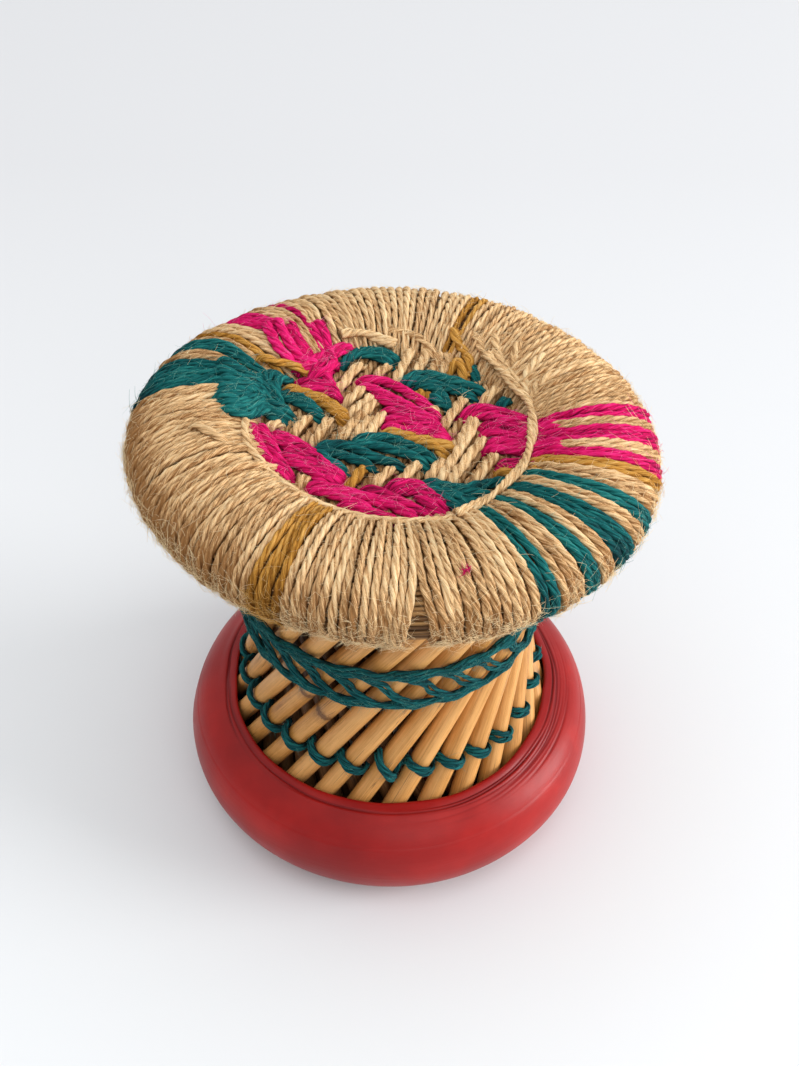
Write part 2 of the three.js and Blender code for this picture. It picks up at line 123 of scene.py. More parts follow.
# It is drawn in at the front left and the back left, and fuller at the back right: direction and
# reach in degrees, and the share of the radius that it is drawn in by.
DRAWS = [(-138, 36, 0.032), (122, 22, 0.012), (66, 26, -0.014)]
# The cage is drawn in at its sides by this share. It is round again at CAGE_ROUND, under the rim, and
# in the cover from COVER_STILL outward.
CAGE_DRAW = 0.028
CAGE_SIDE = 90
CAGE_ROUND, CAGE_FADE = 262, 72
COVER_STILL, COVER_FADE = 128, 16
# Painted shade: how much darker the fibre is painted in the grooves of a rope, and low between two ropes,
# where shade falls.
PAINTED_CREVICE_SHADE = 0.55
PAINTED_UNDER_SHADE = 1.3


# Points, curves and random swings
def unit(vectors):
    return vectors / np.maximum(np.linalg.norm(vectors, axis=-1, keepdims=True), 1e-9)


def smooth(value):
    share = np.clip(value, 0, 1)
    return share * share * (3 - 2 * share)


def bell(off, reach):
    return np.exp(-((off / reach) ** 2))


def degrees_from(direction, azimuth):
    """How far an azimuth is turned from a direction in degrees, between -180 and 180."""
    return (np.degrees(azimuth) - direction + 180) % 360 - 180


def ring_point(radius, azimuth, height):
    radius, azimuth, height = np.broadcast_arrays(radius, azimuth, height)
    return np.stack([radius * np.cos(azimuth), radius * np.sin(azimuth), height], -1).astype(float)


def settled(points):
    """Points of the round rim and its seat, moved to where the weight of use has drawn them."""
    x, y, z = np.moveaxis(points, -1, 0)
    z = z + points[..., :2] @ RIM_TILT
    size = 1.0
    for direction, reach, share in DRAWS:
        size = size - share * bell(degrees_from(direction, np.arctan2(y, x)), reach)
    x = x * (1 + SIDE_SWELL * smooth(abs(x) / RIM_RADIUS)) * size
    y = y * (1 - BACK_DRAW * smooth(y / RIM_RADIUS)) * size
    return np.stack([x, y, z], -1)


def drawn_in(points):
    """Points of the cage and of the cover's mouth, moved in at the left and the right."""
    x, y, z = np.moveaxis(points, -1, 0)
    fade = smooth((CAGE_ROUND - z) / CAGE_FADE) * smooth((COVER_STILL - np.hypot(x, y)) / COVER_FADE)
    return np.stack([x * (1 - CAGE_DRAW * smooth(abs(x) / CAGE_SIDE) * fade), y, z], -1)


def arc_length(points):
    steps = np.linalg.norm(np.diff(points, axis=0), axis=1)
    return np.concatenate([[0], np.cumsum(steps)])


def resampled(points, run, places):
    """The points of a curve at these lengths of its run."""
    return np.column_stack([np.interp(places, run, column) for column in points.T])


def along_curve(controls, step):
    """Points of a smooth curve through the controls, about a step apart."""
    controls = np.asarray(controls, float)
    padded = np.vstack([2 * controls[0] - controls[1], controls, 2 * controls[-1] - controls[-2]])
    dense = []
    share = np.linspace(0, 1, 24, endpoint=False)[:, None]
    for at in range(1, len(padded) - 2):
        before, start, end, after = padded[at - 1 : at + 3]
        bend = 2 * start + (end - before) * share + (2 * before - 5 * start + 4 * end - after) * share**2
        dense.append(0.5 * (bend + (3 * start - before - 3 * end + after) * share**3))
    dense = np.vstack([*dense, controls[-1:]])
    run = arc_length(dense)
    count = max(4, int(round(run[-1] / step)) + 1)
    return resampled(dense, run, np.linspace(0, run[-1], count))


def directions(points):
    return unit(np.gradient(points, axis=0))


def swing(phase, size):
    """One random wave of a random height near this size."""
    return rng.normal(0, size) * np.sin(phase + rng.uniform(0, TAU))


def slow_wave(share, size, waves=3):
    """A random slow swing along a share that runs from nought to one."""
    return sum(swing(TAU * wave * share, size / wave) for wave in range(1, waves + 1))


def ring_wave(turn, size, low, high):
    """A random swing round the ring, made of whole numbers of waves."""
    return sum(swing(wave * turn, size) for wave in range(low, high + 1))


def slubs(run, size, pitch):
    """Uneven swelling along a run, with humps about a pitch long."""
    return sum(swing(TAU * run / (pitch * rng.uniform(0.6, 1.7)), size) for _ in range(3))


# Meshes
class Parts:
    """Gathers rings of points into one mesh: places, faces, lay coordinates, tones and slots. Some tones
    carry painted shade.
    """

    def __init__(self):
        self.verts, self.lay, self.tone = [], [], []
        self.quads, self.tris, self.quad_slots, self.tri_slots = [], [], [], []
        self.count = 0

    def tube(self, centres, side, up, wide, tall, sides, turn=0.0, tone=0.5, slot=0, shift=0.0):
        """A closed tube. Its lay coordinates don't turn with it, so the grain runs along it."""
        rings = len(centres)
        wide, tall, turn = (np.broadcast_to(value, rings)[:, None] for value in (wide, tall, turn))
        flat = TAU * np.arange(sides)[None, :] / sides + np.zeros((rings, 1))
        across = wide * np.cos(flat + turn)
        above = tall * np.sin(flat + turn)
        verts = centres[:, None] + side[:, None] * across[..., None] + up[:, None] * above[..., None]
        run = np.broadcast_to(arc_length(centres)[:, None] + 7 * shift, flat.shape)
        lay = [wide * np.cos(flat) + shift, tall * np.sin(flat) + shift, run]
        ring = np.arange(rings - 1)[:, None] * sides
        here = np.arange(sides)[None, :]
        after = (here + 1) % sides
        quads = np.stack([ring + here, ring + after, ring + sides + after, ring + sides + here], -1)
        fan = np.arange(1, sides - 1)
        first = np.stack([np.zeros_like(fan), fan + 1, fan], -1)
        last = np.stack([np.zeros_like(fan), fan, fan + 1], -1) + (rings - 1) * sides
        tone = np.broadcast_to(tone, flat.shape).ravel()
        self.add(verts, quads, np.vstack([first, last]), np.stack(lay, -1), tone, slot)

    def add(self, verts, quads, tris, lay, tone, slot=0):
        verts, quads = verts.reshape(-1, 3), quads.reshape(-1, 4)
        tris = np.reshape(tris, (-1, 3)).astype(int)
        self.verts.append(verts)
        self.lay.append(lay.reshape(-1, 3))
        self.tone.append(np.broadcast_to(np.asarray(tone, float), len(verts)))
        self.quads.append(quads + self.count)
        self.quad_slots.append(np.full(len(quads), slot))
        self.tris.append(tris + self.count)
        self.tri_slots.append(np.full(len(tris), slot))
        self.count += len(verts)

    def hairs(self, centres, side, up, radius, tone, slot):
        """Many thin tapered hairs at once, three-sided and closed."""
        count, steps = centres.shape[:2]
        angle = TAU * np.arange(3) / 3
        ring = side[:, None] * np.cos(angle)[None, :, None] + up[:, None] * np.sin(angle)[None, :, None]
        thin = radius[:, None] * (1 - 0.65 * np.linspace(0, 1, steps))[None, :]
        verts = centres[:, :, None] + ring[:, None] * thin[..., None, None]
        index = np.arange(count * steps * 3).reshape(count, steps, 3)
        after = np.roll(index, -1, 2)
        quads = np.stack([index[:, :-1], after[:, :-1], after[:, 1:], index[:, 1:]], -1)
        ends = np.vstack([index[:, 0][:, [0, 2, 1]], index[:, -1]])
        self.add(verts, quads, ends, verts, np.repeat(tone, steps * 3), slot)

    def bend(self, field):
        """Moves every point that is gathered so far by a function of its place."""
        self.verts = [field(verts) for verts in self.verts]

    def make(self, name, materials, nodes, slot_name):
        """The gathered mesh as a piece that replaces the nodes. The slot name is not used."""
        verts = np.vstack(self.verts) * METRES
        quads, tris = np.vstack(self.quads), np.vstack(self.tris)
        mesh = bpy.data.meshes.new(name)
        mesh.vertices.add(len(verts))
        mesh.vertices.foreach_set("co", verts.astype(np.float32).ravel())
        corners = np.concatenate([quads.ravel(), tris.ravel()]).astype(np.int32)
        starts = np.concatenate([np.arange(len(quads)) * 4, 4 * len(quads) + np.arange(len(tris)) * 3])
        mesh.loops.add(len(corners))
        mesh.loops.foreach_set("vertex_index", corners)
        mesh.polygons.add(len(starts))
        mesh.polygons.foreach_set("loop_start", starts.astype(np.int32))
        slots = np.concatenate([*self.quad_slots, *self.tri_slots]).astype(np.int32)
        mesh.polygons.foreach_set("material_index", slots)
        mesh.polygons.foreach_set("use_smooth", np.ones(len(starts), bool))
        mesh.update(calc_edges=True)
        lay = mesh.attributes.new("lay", "FLOAT_VECTOR", "POINT")
        lay.data.foreach_set("vector", np.vstack(self.lay).astype(np.float32).ravel())
        set_values(mesh, "tone", np.concatenate(self.tone))
        for material in materials:
            mesh.materials.append(material)
        piece = add_object(name, mesh)
        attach(piece, "root")
        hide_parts(*nodes)
        return piece


def add_object(name, data):
    """A new object in the scene."""
    added = bpy.data.objects.new(name, data)
    bpy.context.scene.collection.objects.link(added)
    return added


def set_values(mesh, name, values):
    """Gives each point of a mesh a value that its material reads by name."""
    attribute = mesh.attributes.new(name, "FLOAT", "POINT")
    attribute.data.foreach_set("value", np.asarray(values, np.float32))


def lay_rope(parts, points, hint, radius, plies, lay_length, sides, wide=1.0, tall=1.0, phase=0.0,
             tone=0.5, slot=0, fill=0.58, uneven=0.05):
    """Adds a rope of twisted plies along the points. The hint points away from what it lies on."""
    tangent = directions(points)
    side = unit(np.cross(tangent, hint))
    up = np.cross(side, tangent)
    run = arc_length(points)
    ply_radius = radius * fill
    twist = phase + slubs(run, 3 * uneven, 1.6 * lay_length)
    facing = TAU * np.arange(sides)[None, :] / sides
    # Painted shade in the grooves between the plies and low on the rope, where little light reaches.
    painted_crevice = PAINTED_CREVICE_SHADE * smooth((0.5 - np.cos(facing)) / 1.1)
    for ply in range(plies):
        turn = TAU * (ply / plies + run / lay_length) + twist + slubs(run, 2 * uneven, lay_length)
        swell = ply_radius * (1 + slubs(run, uneven, 14))
        reach = (radius - ply_radius) * (1 + slubs(run, uneven, 20))
        centre = points + side * (reach * wide * np.cos(turn))[:, None]
        centre = centre + up * (reach * tall * np.sin(turn))[:, None]
        level = (reach * np.sin(turn))[:, None] + swell[:, None] * np.sin(facing + turn[:, None])
        shade = painted_crevice + PAINTED_UNDER_SHADE * smooth(0.1 - level / radius)
        parts.tube(centre, side, up, swell * wide, swell * tall, sides, turn,
                   tone + rng.uniform(-0.14, 0.14) - shade, slot, rng.uniform(0, 400))


def add_fuzz(parts, roots, outward, count, slot, size, radius=0.12, lift=0.5, tone=2.0):
    """Loose fibres that leave the rope at a low angle and curl."""
    pick = rng.integers(0, len(roots), count)
    out = outward[pick]
    heading = unit(np.cross(out, rng.normal(size=(count, 3))))
    aside = np.cross(out, heading)
    share = np.linspace(0, 1, 5)[None, :, None]
    length = rng.uniform(*size, (count, 1, 1))
    rise = lift * rng.uniform(-0.1, 1, (count, 1, 1))
    fall = rise * rng.uniform(0, 1, (count, 1, 1))
    curl = rng.normal(0, 0.6, (count, 1, 1))
    path = heading[:, None] * share + out[:, None] * (rise * share - fall * share**2)
    path = roots[pick][:, None] + length * (path + aside[:, None] * curl * share**2)
    thick = radius * rng.uniform(0.7, 1.3, count)
    parts.hairs(path, out, aside, thick, tone + rng.uniform(-0.3, 0.2, count), slot)


# Nodes of the materials
def linear(color):
    """The light of a screen colour, whose channels run to 255."""
    share = np.array(color) / 255
    return tuple(np.where(share <= 0.04045, share / 12.92, ((share + 0.055) / 1.055) ** 2.4))


class Graph:
    """The shader nodes of a material or of the world. A value is a number or another node's output."""

    def __init__(self, tree):
        self.tree = tree

    def new(self, kind, **values):
        """A node with values for the inputs of these names."""
        node = self.tree.nodes.new("ShaderNode" + kind)
        for name, value in values.items():
            self.feed(node.inputs[name], value)
        return node

    def feed(self, socket, value):
        if isinstance(value, bpy.types.NodeSocket):
            self.tree.links.new(value, socket)
        elif value is not None:
            socket.default_value = value

    def maths(self, kind, *values):
        node = self.new("Math")
        node.operation = kind
        for socket, value in zip(node.inputs, values):
            self.feed(socket, value)
        return node.outputs[0]

    def add(self, *values):
        return self.maths("ADD", *values)

    def less(self, *values):
        return self.maths("SUBTRACT", *values)

    def times(self, *values):
        return self.maths("MULTIPLY", *values)

    def blend(self, *shares):
        """Outputs added up, each times its share."""
        total = self.times(*shares[0])
        for share in shares[1:]:
            total = self.add(total, self.times(*share))
        return total

    def attribute(self, name, output="Fac"):
        node = self.new("Attribute")
        node.attribute_name = name
        return node.outputs[output]

    def noise(self, vector, scale, detail, rough=0.6):
        node = self.new("TexNoise", Vector=vector, Scale=scale, Detail=detail, Roughness=rough)
        return node.outputs["Fac"]

    def grain(self, scale, detail=3, rough=0.6):
        """Noise over a piece's lay coordinates, whose third runs along it."""
        node = self.new("Mapping", Scale=scale, Vector=self.attribute("lay", "Vector"))
        return self.noise(node.outputs["Vector"], 1.0, detail, rough)

    def ramp(self, value, *stops):
        """A colour for each value, from stops of a place and a colour. The first two are the ends."""
        node = self.new("ValToRGB", Fac=value)
        for at, (place, color) in enumerate(stops):
            stop = node.color_ramp.elements[at] if at < 2 else node.color_ramp.elements.new(place)
            stop.position = place
            stop.color = (*linear(color), 1)
        return node.outputs["Color"]

    def stain_and_shade(self, share, color, stain):
        node = self.new("Mix")
        node.data_type = "RGBA"
        node.blend_type = "MIX"
        for at, value in [(0, share), (6, color), (7, (*linear(stain), 1))]:
            self.feed(node.inputs[at], value)
        return node.outputs[2]

    def bump(self, height, strength, distance, normal=None):
        node = self.new("Bump", Strength=strength, Distance=distance, Height=height, Normal=normal)
        return node.outputs["Normal"]


class Look(Graph):
    """A new material with its shader."""

    def __init__(self, name, roughness, specular):
        self.material = bpy.data.materials.new(name)
        self.material.use_nodes = True
        super().__init__(self.material.node_tree)
        self.shader = self.tree.nodes["Principled BSDF"]
        self.shader.inputs["Roughness"].default_value = roughness
        self.shader.inputs["Specular IOR Level"].default_value = specular

    def finish(self, color, normal=None):
        self.feed(self.shader.inputs["Base Color"], color)
        self.feed(self.shader.inputs["Normal"], normal)
        return self.material


# Materials
def yarn_material(name, dark, middle, light, hair):
    """Spun fibre: streaks along the ply, darker and paler lengths, thin pale fibres and a bump."""
    look = Look(name, 0.85, 0.2)
    streaks = look.grain((1.6, 1.6, 0.13), 5, 0.75)
    lengths = look.grain((0.06, 0.06, 0.06), 2)
    # The tone carries each rope's random tone and also its painted shade: grooves, low sides, and the rim's
    # left and right.
    value = look.blend((streaks, 0.95), (lengths, 0.25), (look.attribute("tone"), 0.2))
    off = look.maths("ABSOLUTE", look.less(look.grain((1.9, 1.9, 0.07)), 0.5))
    line = look.maths("MAXIMUM", look.less(1.0, look.times(off, 30)), 0.0)
    value = look.add(look.less(value, 0.2), look.times(line, 0.12))
    color = look.ramp(value, (0.34, dark), (0.9, hair), (0.5, middle), (0.68, light))
    return look.finish(color, look.bump(look.grain((2.2, 2.2, 0.14), 4, 0.7), 0.8, 0.0009))


YARNS = {
    "natural": [(156, 110, 64), (238, 196, 142), (255, 232, 186), (255, 234, 190)],
    "teal": [(0, 46, 50), (6, 94, 94), (38, 134, 128), (136, 186, 168)],
    "magenta": [(112, 0, 48), (224, 4, 98), (240, 48, 136), (250, 156, 194)],
    "mustard": [(124, 78, 18), (196, 138, 54), (226, 176, 96), (246, 212, 150)],
}
COLORS = list(YARNS)
jute_slots = [yarn_material(f"jute_{color}", *YARNS[color]) for color in COLORS]
cord_teal = yarn_material("cord_teal", (0, 36, 40), (4, 76, 80), (26, 114, 112), (120, 174, 158))
# Plies, length of lay in millimetres and thickness of a ply as a share of the rope, for each colour.
MAKES = {"natural": (3, 29, 0.57), "mustard": (3, 31, 0.57), "teal": (4, 34, 0.5), "magenta": (4, 38, 0.5)}


def cane_material(name, base, shade, stain):
    """Cane with grain, paler and darker patches, a few dark lines, and a blotched stain at its joints."""
    look = Look(name, 0.45, 0.4)
    grain = look.grain((1.1, 1.1, 0.02), 5, 0.7)
    patches = look.grain((0.14, 0.14, 0.025), 4, 0.65)
    value = look.blend((grain, 0.62), (patches, 0.62), (look.attribute("tone"), 0.26))
    pale = [min(255, channel + 26) for channel in base]
    color = look.ramp(value, (0.52, shade), (0.9, pale), (0.7, base))
    off = look.maths("ABSOLUTE", look.less(look.grain((0.3, 0.3, 0.004), 2, 0.4), 0.44))
    color = look.stain_and_shade(look.times(look.maths("LESS_THAN", off, 0.006), 0.5), color, stain)
    blotch = look.less(look.times(look.grain((0.45, 0.45, 0.4), 4, 0.7), 4.5), 0.6)
    spread = look.maths("MAXIMUM", look.times(look.attribute("stain"), blotch), 0.0)
    color = look.stain_and_shade(look.maths("MINIMUM", spread, 0.85), color, stain)
    return look.finish(color, look.bump(grain, 0.45, 0.0005))


def reed_material():
    look = Look("reed", 0.7, 0.3)
    grain = look.grain((2.2, 2.2, 0.05), 4, 0.65)
    value = look.blend((grain, 0.6), (look.attribute("tone"), 0.4))
    color = look.ramp(value, (0.25, (84, 56, 30)), (0.8, (206, 168, 112)), (0.5, (160, 118, 70)))
    return look.finish(color, look.bump(grain, 0.5, 0.0005))


def rubber_material():
    """Matt red rubber: faint clouds, painted shade in the creases, fine rings round it and a fine tooth."""
    look = Look("rubber_red", 0.4, 0.26)
    place = look.new("TexCoord").outputs["Object"]
    clouds = look.noise(place, 14, 4)
    color = look.ramp(clouds, (0.36, (134, 12, 12)), (0.68, (166, 24, 19)), (0.52, (148, 17, 15)))
    # Painted shade: the creases round the lip are darkened towards this colour.
    color = look.stain_and_shade(look.times(look.attribute("tone"), 0.5), color, (74, 14, 20))
    rough = look.add(0.32, look.times(look.noise(place, 40, 4), 0.18))
    look.feed(look.shader.inputs["Roughness"], rough)
    rings = look.bump(look.grain((0.4, 0.05, 1.0), 4), 0.15, 0.0008)
    return look.finish(color, look.bump(look.noise(place, 420, 4, 0.7), 0.1, 0.0004, rings))


def floor_material():
    """A pale floor, with painted shade that makes it a little darker towards the back of the studio."""
    look = Look("floor_pale", 0.8, 0.1)
    place = look.new("SeparateXYZ", Vector=look.new("TexCoord").outputs["Object"])
    depth = look.add(look.times(place.outputs["Y"], 0.2), 0.5)
    return look.finish(look.ramp(depth, (0.42, (229, 232, 234)), (0.66, (214, 215, 217))))


pale_cane = cane_material("cane_pale", (194, 136, 68), (138, 82, 32), (78, 42, 18))
# The inner canes are painted darker than the outer ones: painted shade, as they stand in the shadow of the
# outer canes.
shaded_inner_cane = cane_material("cane_brown", (122, 82, 46), (62, 38, 22), (44, 28, 18))
reed = reed_material()
rubber = rubber_material()


# Canes
# A joint is a low ring with a groove in it: places across it where the cane needs a ring of points.
JOINT_STEPS = (-3, -1.6, -0.9, -0.45, 0, 0.45, 0.9, 1.6, 3)
JOINT_RISE, JOINT_REACH = 0.35, 1.9
GROOVE_DEPTH, GROOVE_REACH = 0.25, 0.42
GROOVE_STAIN_REACH = 0.55
# Where a joint may be on a cane whose joint doesn't show, and the share of such canes that have none.
JOINT_LOW, JOINT_HIGH = 60, 250
JOINTLESS = 0.6
# Heights of the joints on the canes where the photograph shows one, and none beside them.
SEEN_JOINTS = {22: [], 23: [], 24: [143.5], 25: [131.5], 26: [], 27: [], 0: [], 1: [], 2: [], 3: []}
# The cord behind a group of inner canes: its radius, and how deep it lies in the canes' inner faces.
GROUP_CORD = 1.7
GROUP_CORD_DEPTH = 2.3


def cane_axis(layer, azimuth):
    along = np.array([-math.sin(azimuth) * layer[1], math.cos(azimuth) * layer[1], 1.0])
    return along / np.linalg.norm(along)


def cane_point(layer, azimuth, height):
    run = layer[1] * (height - WAIST)
    foot = ring_point(layer[0], azimuth, height)
    return foot + np.stack([-run * math.sin(azimuth), run * math.cos(azimuth), 0 * run], -1)


def cane_shape(parts, layer, azimuth, sides, rings, joints):
    """Adds a slightly bent cane with its joints, and gives the stain at each of its points."""
    heights = np.linspace(CANE_FOOT, CANE_TOP, rings)
    extra = [joint + step for joint in joints for step in JOINT_STEPS]
    heights = np.unique(np.clip(np.concatenate([heights, extra]), CANE_FOOT, CANE_TOP))
    along = cane_axis(layer, azimuth)
    outward = ring_point(1, azimuth, 0)
    across = np.cross(along, outward)
    share = (heights - CANE_FOOT) / (CANE_TOP - CANE_FOOT)
    bend = rng.uniform(-0.6, 0.6) * np.sin(math.pi * share) + rng.uniform(-0.3, 0.3) * np.sin(TAU * share)
    centres = cane_point(layer, azimuth, heights) + across * bend[:, None]
    radius = layer[2] * (1 + rng.uniform(-0.04, 0.015) + rng.uniform(-0.02, 0.02) * (share - 0.5))
    stain = np.zeros(len(heights))
    for joint in joints:
        off = (heights - joint) / along[2]
        strength = rng.uniform(0.7, 1)
        radius = radius + JOINT_RISE * bell(off, JOINT_REACH)
        radius = radius - GROOVE_DEPTH * strength * bell(off, GROOVE_REACH)
        ring = 0.7 * bell(off, rng.uniform(2.4, 3.6)) + 0.8 * bell(off, GROOVE_STAIN_REACH)
        stain = np.maximum(stain, strength * ring)
    side = np.broadcast_to(outward, centres.shape)
    up = np.broadcast_to(across, centres.shape)
    tall = radius * rng.uniform(0.94, 1.0)
    tone = rng.uniform(0.45 if layer is OUTER else 0, 1)
    parts.tube(centres, side, up, radius, tall, sides, 0.0, tone, 0, rng.uniform(0, 300))
    return np.repeat(stain, sides)


for cane in range(CANE_COUNT):
    parts = Parts()
    height = rng.uniform(JOINT_LOW, JOINT_HIGH)
    has_joint = rng.choice(2, p=[JOINTLESS, 1 - JOINTLESS])
    joints = SEEN_JOINTS.get(cane, [height][:has_joint])
    stain = cane_shape(parts, OUTER, OUTER_START + cane * PITCH, 20, 40, joints)
    parts.bend(drawn_in)
    number = f"{cane + 1:02d}"
    piece = parts.make(f"cane_outer_{number}", [pale_cane], [f"outer_cane_{number}"], "cane_pale")
    set_values(piece.data, "stain", stain)

for group in range(CANE_COUNT // GROUP_CANES):
    parts = Parts()
    first = INNER_START + group * GROUP_CANES * PITCH
    stains = []
    for cane in range(group * GROUP_CANES, (group + 1) * GROUP_CANES):
        joint = rng.uniform(JOINT_LOW, JOINT_HIGH)
        stains.append(cane_shape(parts, INNER, INNER_START + cane * PITCH, 14, 24, [joint]))
    turn = first + layer_turn(INNER, TIE_HEIGHT) + np.linspace(0, (GROUP_CANES - 1) * PITCH, 22)
    reach = face_radius(INNER, TIE_HEIGHT, -1) + GROUP_CORD_DEPTH - GROUP_CORD
    before = parts.count
    run = ring_point(reach, turn, TIE_HEIGHT)
    lay_rope(parts, run, -ring_point(1, turn, 0), GROUP_CORD, 2, 12, 8, slot=1)
    stains.append(np.zeros(parts.count - before))
    parts.bend(drawn_in)
    name, node = f"cane_inner_{group + 1}", f"inner_cane_group_{group + 1}"
    piece = parts.make(name, [shaded_inner_cane, cord_teal], [node], "cane_brown")
    set_values(piece.data, "stain", np.concatenate(stains))


# Rim winding
WRAP_COUNT = 177
WRAP_PITCH = TAU / WRAP_COUNT
WRAP_STEPS = 112
LINE_WIDTH = RIM_HALF_WIDTH - ROPE_RADIUS
LINE_HEIGHT = RIM_HALF_HEIGHT - ROPE_RADIUS
# A wrap starts and ends under the rim, and its angle runs from the outer side over the top to the inner.
WRAP_START, WRAP_END = -math.pi / 2, 1.5 * math.pi
# How close the wraps come together where they pass between two canes.
SPACE_SHARE = 0.36
# Painted shade: the rope is painted darker at the left and the right, and low on the outer side, where less
# light falls.
PAINTED_SIDE_SHADE = -0.33
PAINTED_LOW_SHADE = -0.75
# The place where the wraps part at the front, in degrees, with its reach and the shift of its sides.
PARTING = (-84.8, 6.0, 2.35)
# Places at the seat where wraps are drawn together, or spread: middle, reach, and share of the draw.
KNOTS = [(125.3, 13, 0.5), (158.7, 17, 0.42), (-153.8, 4, -1.1)]
# Degrees that a wrap swings round from the inner edge to the bottom of the outer side, by azimuth.
SWINGS = [
    (-180, 7), (-150, 6), (-115, 1.2), (-85, 0), (-60, 0.5), (-45, 3), (-30, 8), (-10, 11),
    (10, 9), (30, 5), (65, 3), (100, 4), (125, 7), (150, 6), (180, 7),
]
SWING_START = 1.9
SWING_SPAN = 2.2
# Degrees round the rim from STRIPES_FROM on, for the wraps of each colour. The rest is natural.
STRIPES_FROM = -122
STRIPES = {
    "mustard": [(-121.5, -113.6), (-21.6, -18.6), (63.4, 67), (141.5, 143.5)],
    "teal": [
        (-60.2, -56.1), (-51, -45.8), (-41.4, -36), (-32.6, -27.4), (144, 146.2), (148, 151), (155, 169),
    ],
    "magenta": [(-18.6, -14.6), (-10, -3), (1, 5), (118.4, 121.4), (126, 135)],
}
# The pieces of the winding, and how many spaces between canes each one fills.
FIELDS = [
    ("mustard_front", 1), ("natural_front", 3), ("teal_right", 4), ("magenta_right", 2), ("natural_right", 4),
    ("mustard_back", 1), ("natural_back", 3), ("magenta_left", 2), ("teal_left", 3), ("natural_left", 5),
]
WRAP_ANGLES = np.linspace(WRAP_START, WRAP_END, WRAP_STEPS)
# Where on a wrap its painted low shade lies: the low outer side.
PAINTED_LOW_SHADE_MASK = smooth(1.15 - WRAP_ANGLES)[:, None]


def stripe_color(azimuth):
    degrees = (math.degrees(azimuth) - STRIPES_FROM) % 360 + STRIPES_FROM
    for color, stripes in STRIPES.items():
        if any(low <= degrees < high for low, high in stripes):
            return color
    return "natural"


def knot_pull(azimuth):
    """How far a wrap is drawn round to a knot, and how much its neighbours close up there."""
    shift, stretch = 0.0, 1.0
    for middle, reach, share in KNOTS:
        off = degrees_from(middle, azimuth)
        far = (off / reach) ** 4
        fade = share * math.exp(-far)
        shift -= off * fade
        stretch -= fade * (1 - 4 * far)
    return math.radians(shift), stretch


def swing_of(azimuth):
    return math.radians(np.interp(degrees_from(0, azimuth), *np.transpose(SWINGS)))


def wrap_points(azimuth, order):
    """The middle line of one wrap, which way its outside faces, and how tight it lies."""
    angle = WRAP_ANGLES
    share = np.linspace(0, 1, WRAP_STEPS)
    across, above = np.cos(angle), np.sin(angle)
    outward = unit(np.stack([across * LINE_HEIGHT, above * LINE_WIDTH], -1))
    gap = FIRST_SPACE + round((azimuth - FIRST_SPACE) / PITCH) * PITCH
    free = np.minimum(smooth((angle - WRAP_START) / 0.75), smooth((WRAP_END - angle) / 0.9))
    place = gap + (azimuth - gap) * (SPACE_SHARE + (1 - SPACE_SHARE) * free) + WRAP_PITCH * smooth(share)
    middle, reach, aside = PARTING
    off = degrees_from(middle, azimuth)
    place = place + np.sign(off) * math.radians(aside) * bell(off, reach) * smooth((1.45 - angle) / 1.6)
    swing = np.clip((SWING_START - angle) / SWING_SPAN, 0, 1) - (SWING_START - math.pi / 2) / SWING_SPAN
    swing = swing * np.minimum(smooth((angle - WRAP_START) / 1.1), free)
    place = place + swing_of(azimuth) * swing
    widening = swing_of(azimuth + WRAP_PITCH / 2) - swing_of(azimuth - WRAP_PITCH / 2)
    spread = 1 + widening / WRAP_PITCH * swing
    inner = smooth((angle - 1.35) / 0.8) * smooth((3.9 - angle) / 0.8)
    shift, stretch = knot_pull(azimuth)
    place = place + shift * inner
    radius = RIM_RADIUS + LINE_WIDTH * across
    spacing = radius * WRAP_PITCH * (1 + (stretch - 1) * inner) * spread
    tight = np.clip(spacing / (2 * ROPE_RADIUS), 0.5, 1.1)
    lift = (1 - tight) * (2.0 if order % 2 else -0.9) + slow_wave(share, 0.38, 5) * free
    lift = lift + 1.6 * np.clip(1 - stretch, 0, 1) * inner
    place = place + slow_wave(share, 0.5, 5) / radius * free
    radius = radius + outward[:, 0] * lift
    height = RIM_HEIGHT + LINE_HEIGHT * above + outward[:, 1] * lift
    hint = ring_point(outward[:, 0], place, outward[:, 1])
    return settled(ring_point(radius, place, height)), hint, tight


def add_wrap(parts, azimuth, order):
    color = stripe_color(azimuth)
    slot = COLORS.index(color)
    points, hint, tight = wrap_points(azimuth, order)
    plies, lay_length, fill = MAKES[color]
    dyed = color in ("teal", "magenta")
    wide = tight * rng.uniform(1.02, 1.12)
    tall = np.minimum(1.3, tight**-0.5)
    lay_length = lay_length * rng.uniform(0.85, 1.2)
    tone = rng.uniform(0.3, 0.82)
    # Painted shade: natural wraps darker at the left and the right, and every wrap darker low on its outer
    # side, less at the right and more at the left.
    if color == "natural":
        tone += PAINTED_SIDE_SHADE * abs(math.cos(azimuth))
    tone = tone + PAINTED_LOW_SHADE * PAINTED_LOW_SHADE_MASK * (1 - 0.45 * math.cos(azimuth))
    phase = rng.uniform(0, TAU)
    lay_rope(parts, points, hint, ROPE_RADIUS, plies, lay_length, 6, wide, tall, phase, tone, slot, fill)
    roots = points + hint * (ROPE_RADIUS * 0.85)
    top, edge, crest = slice(9, 78), slice(6, 34), slice(27, 61)
    add_fuzz(parts, roots[top], hint[top], 14 if dyed else 18, slot, (2, 8))
    add_fuzz(parts, roots[edge], hint[edge], 14 if dyed else 50, slot, (2, 9), 0.13, 0.6, 1.2)
    if rng.random() < 0.8:
        add_fuzz(parts, roots[crest], hint[crest], 1, slot, (8, 20), lift=0.1)


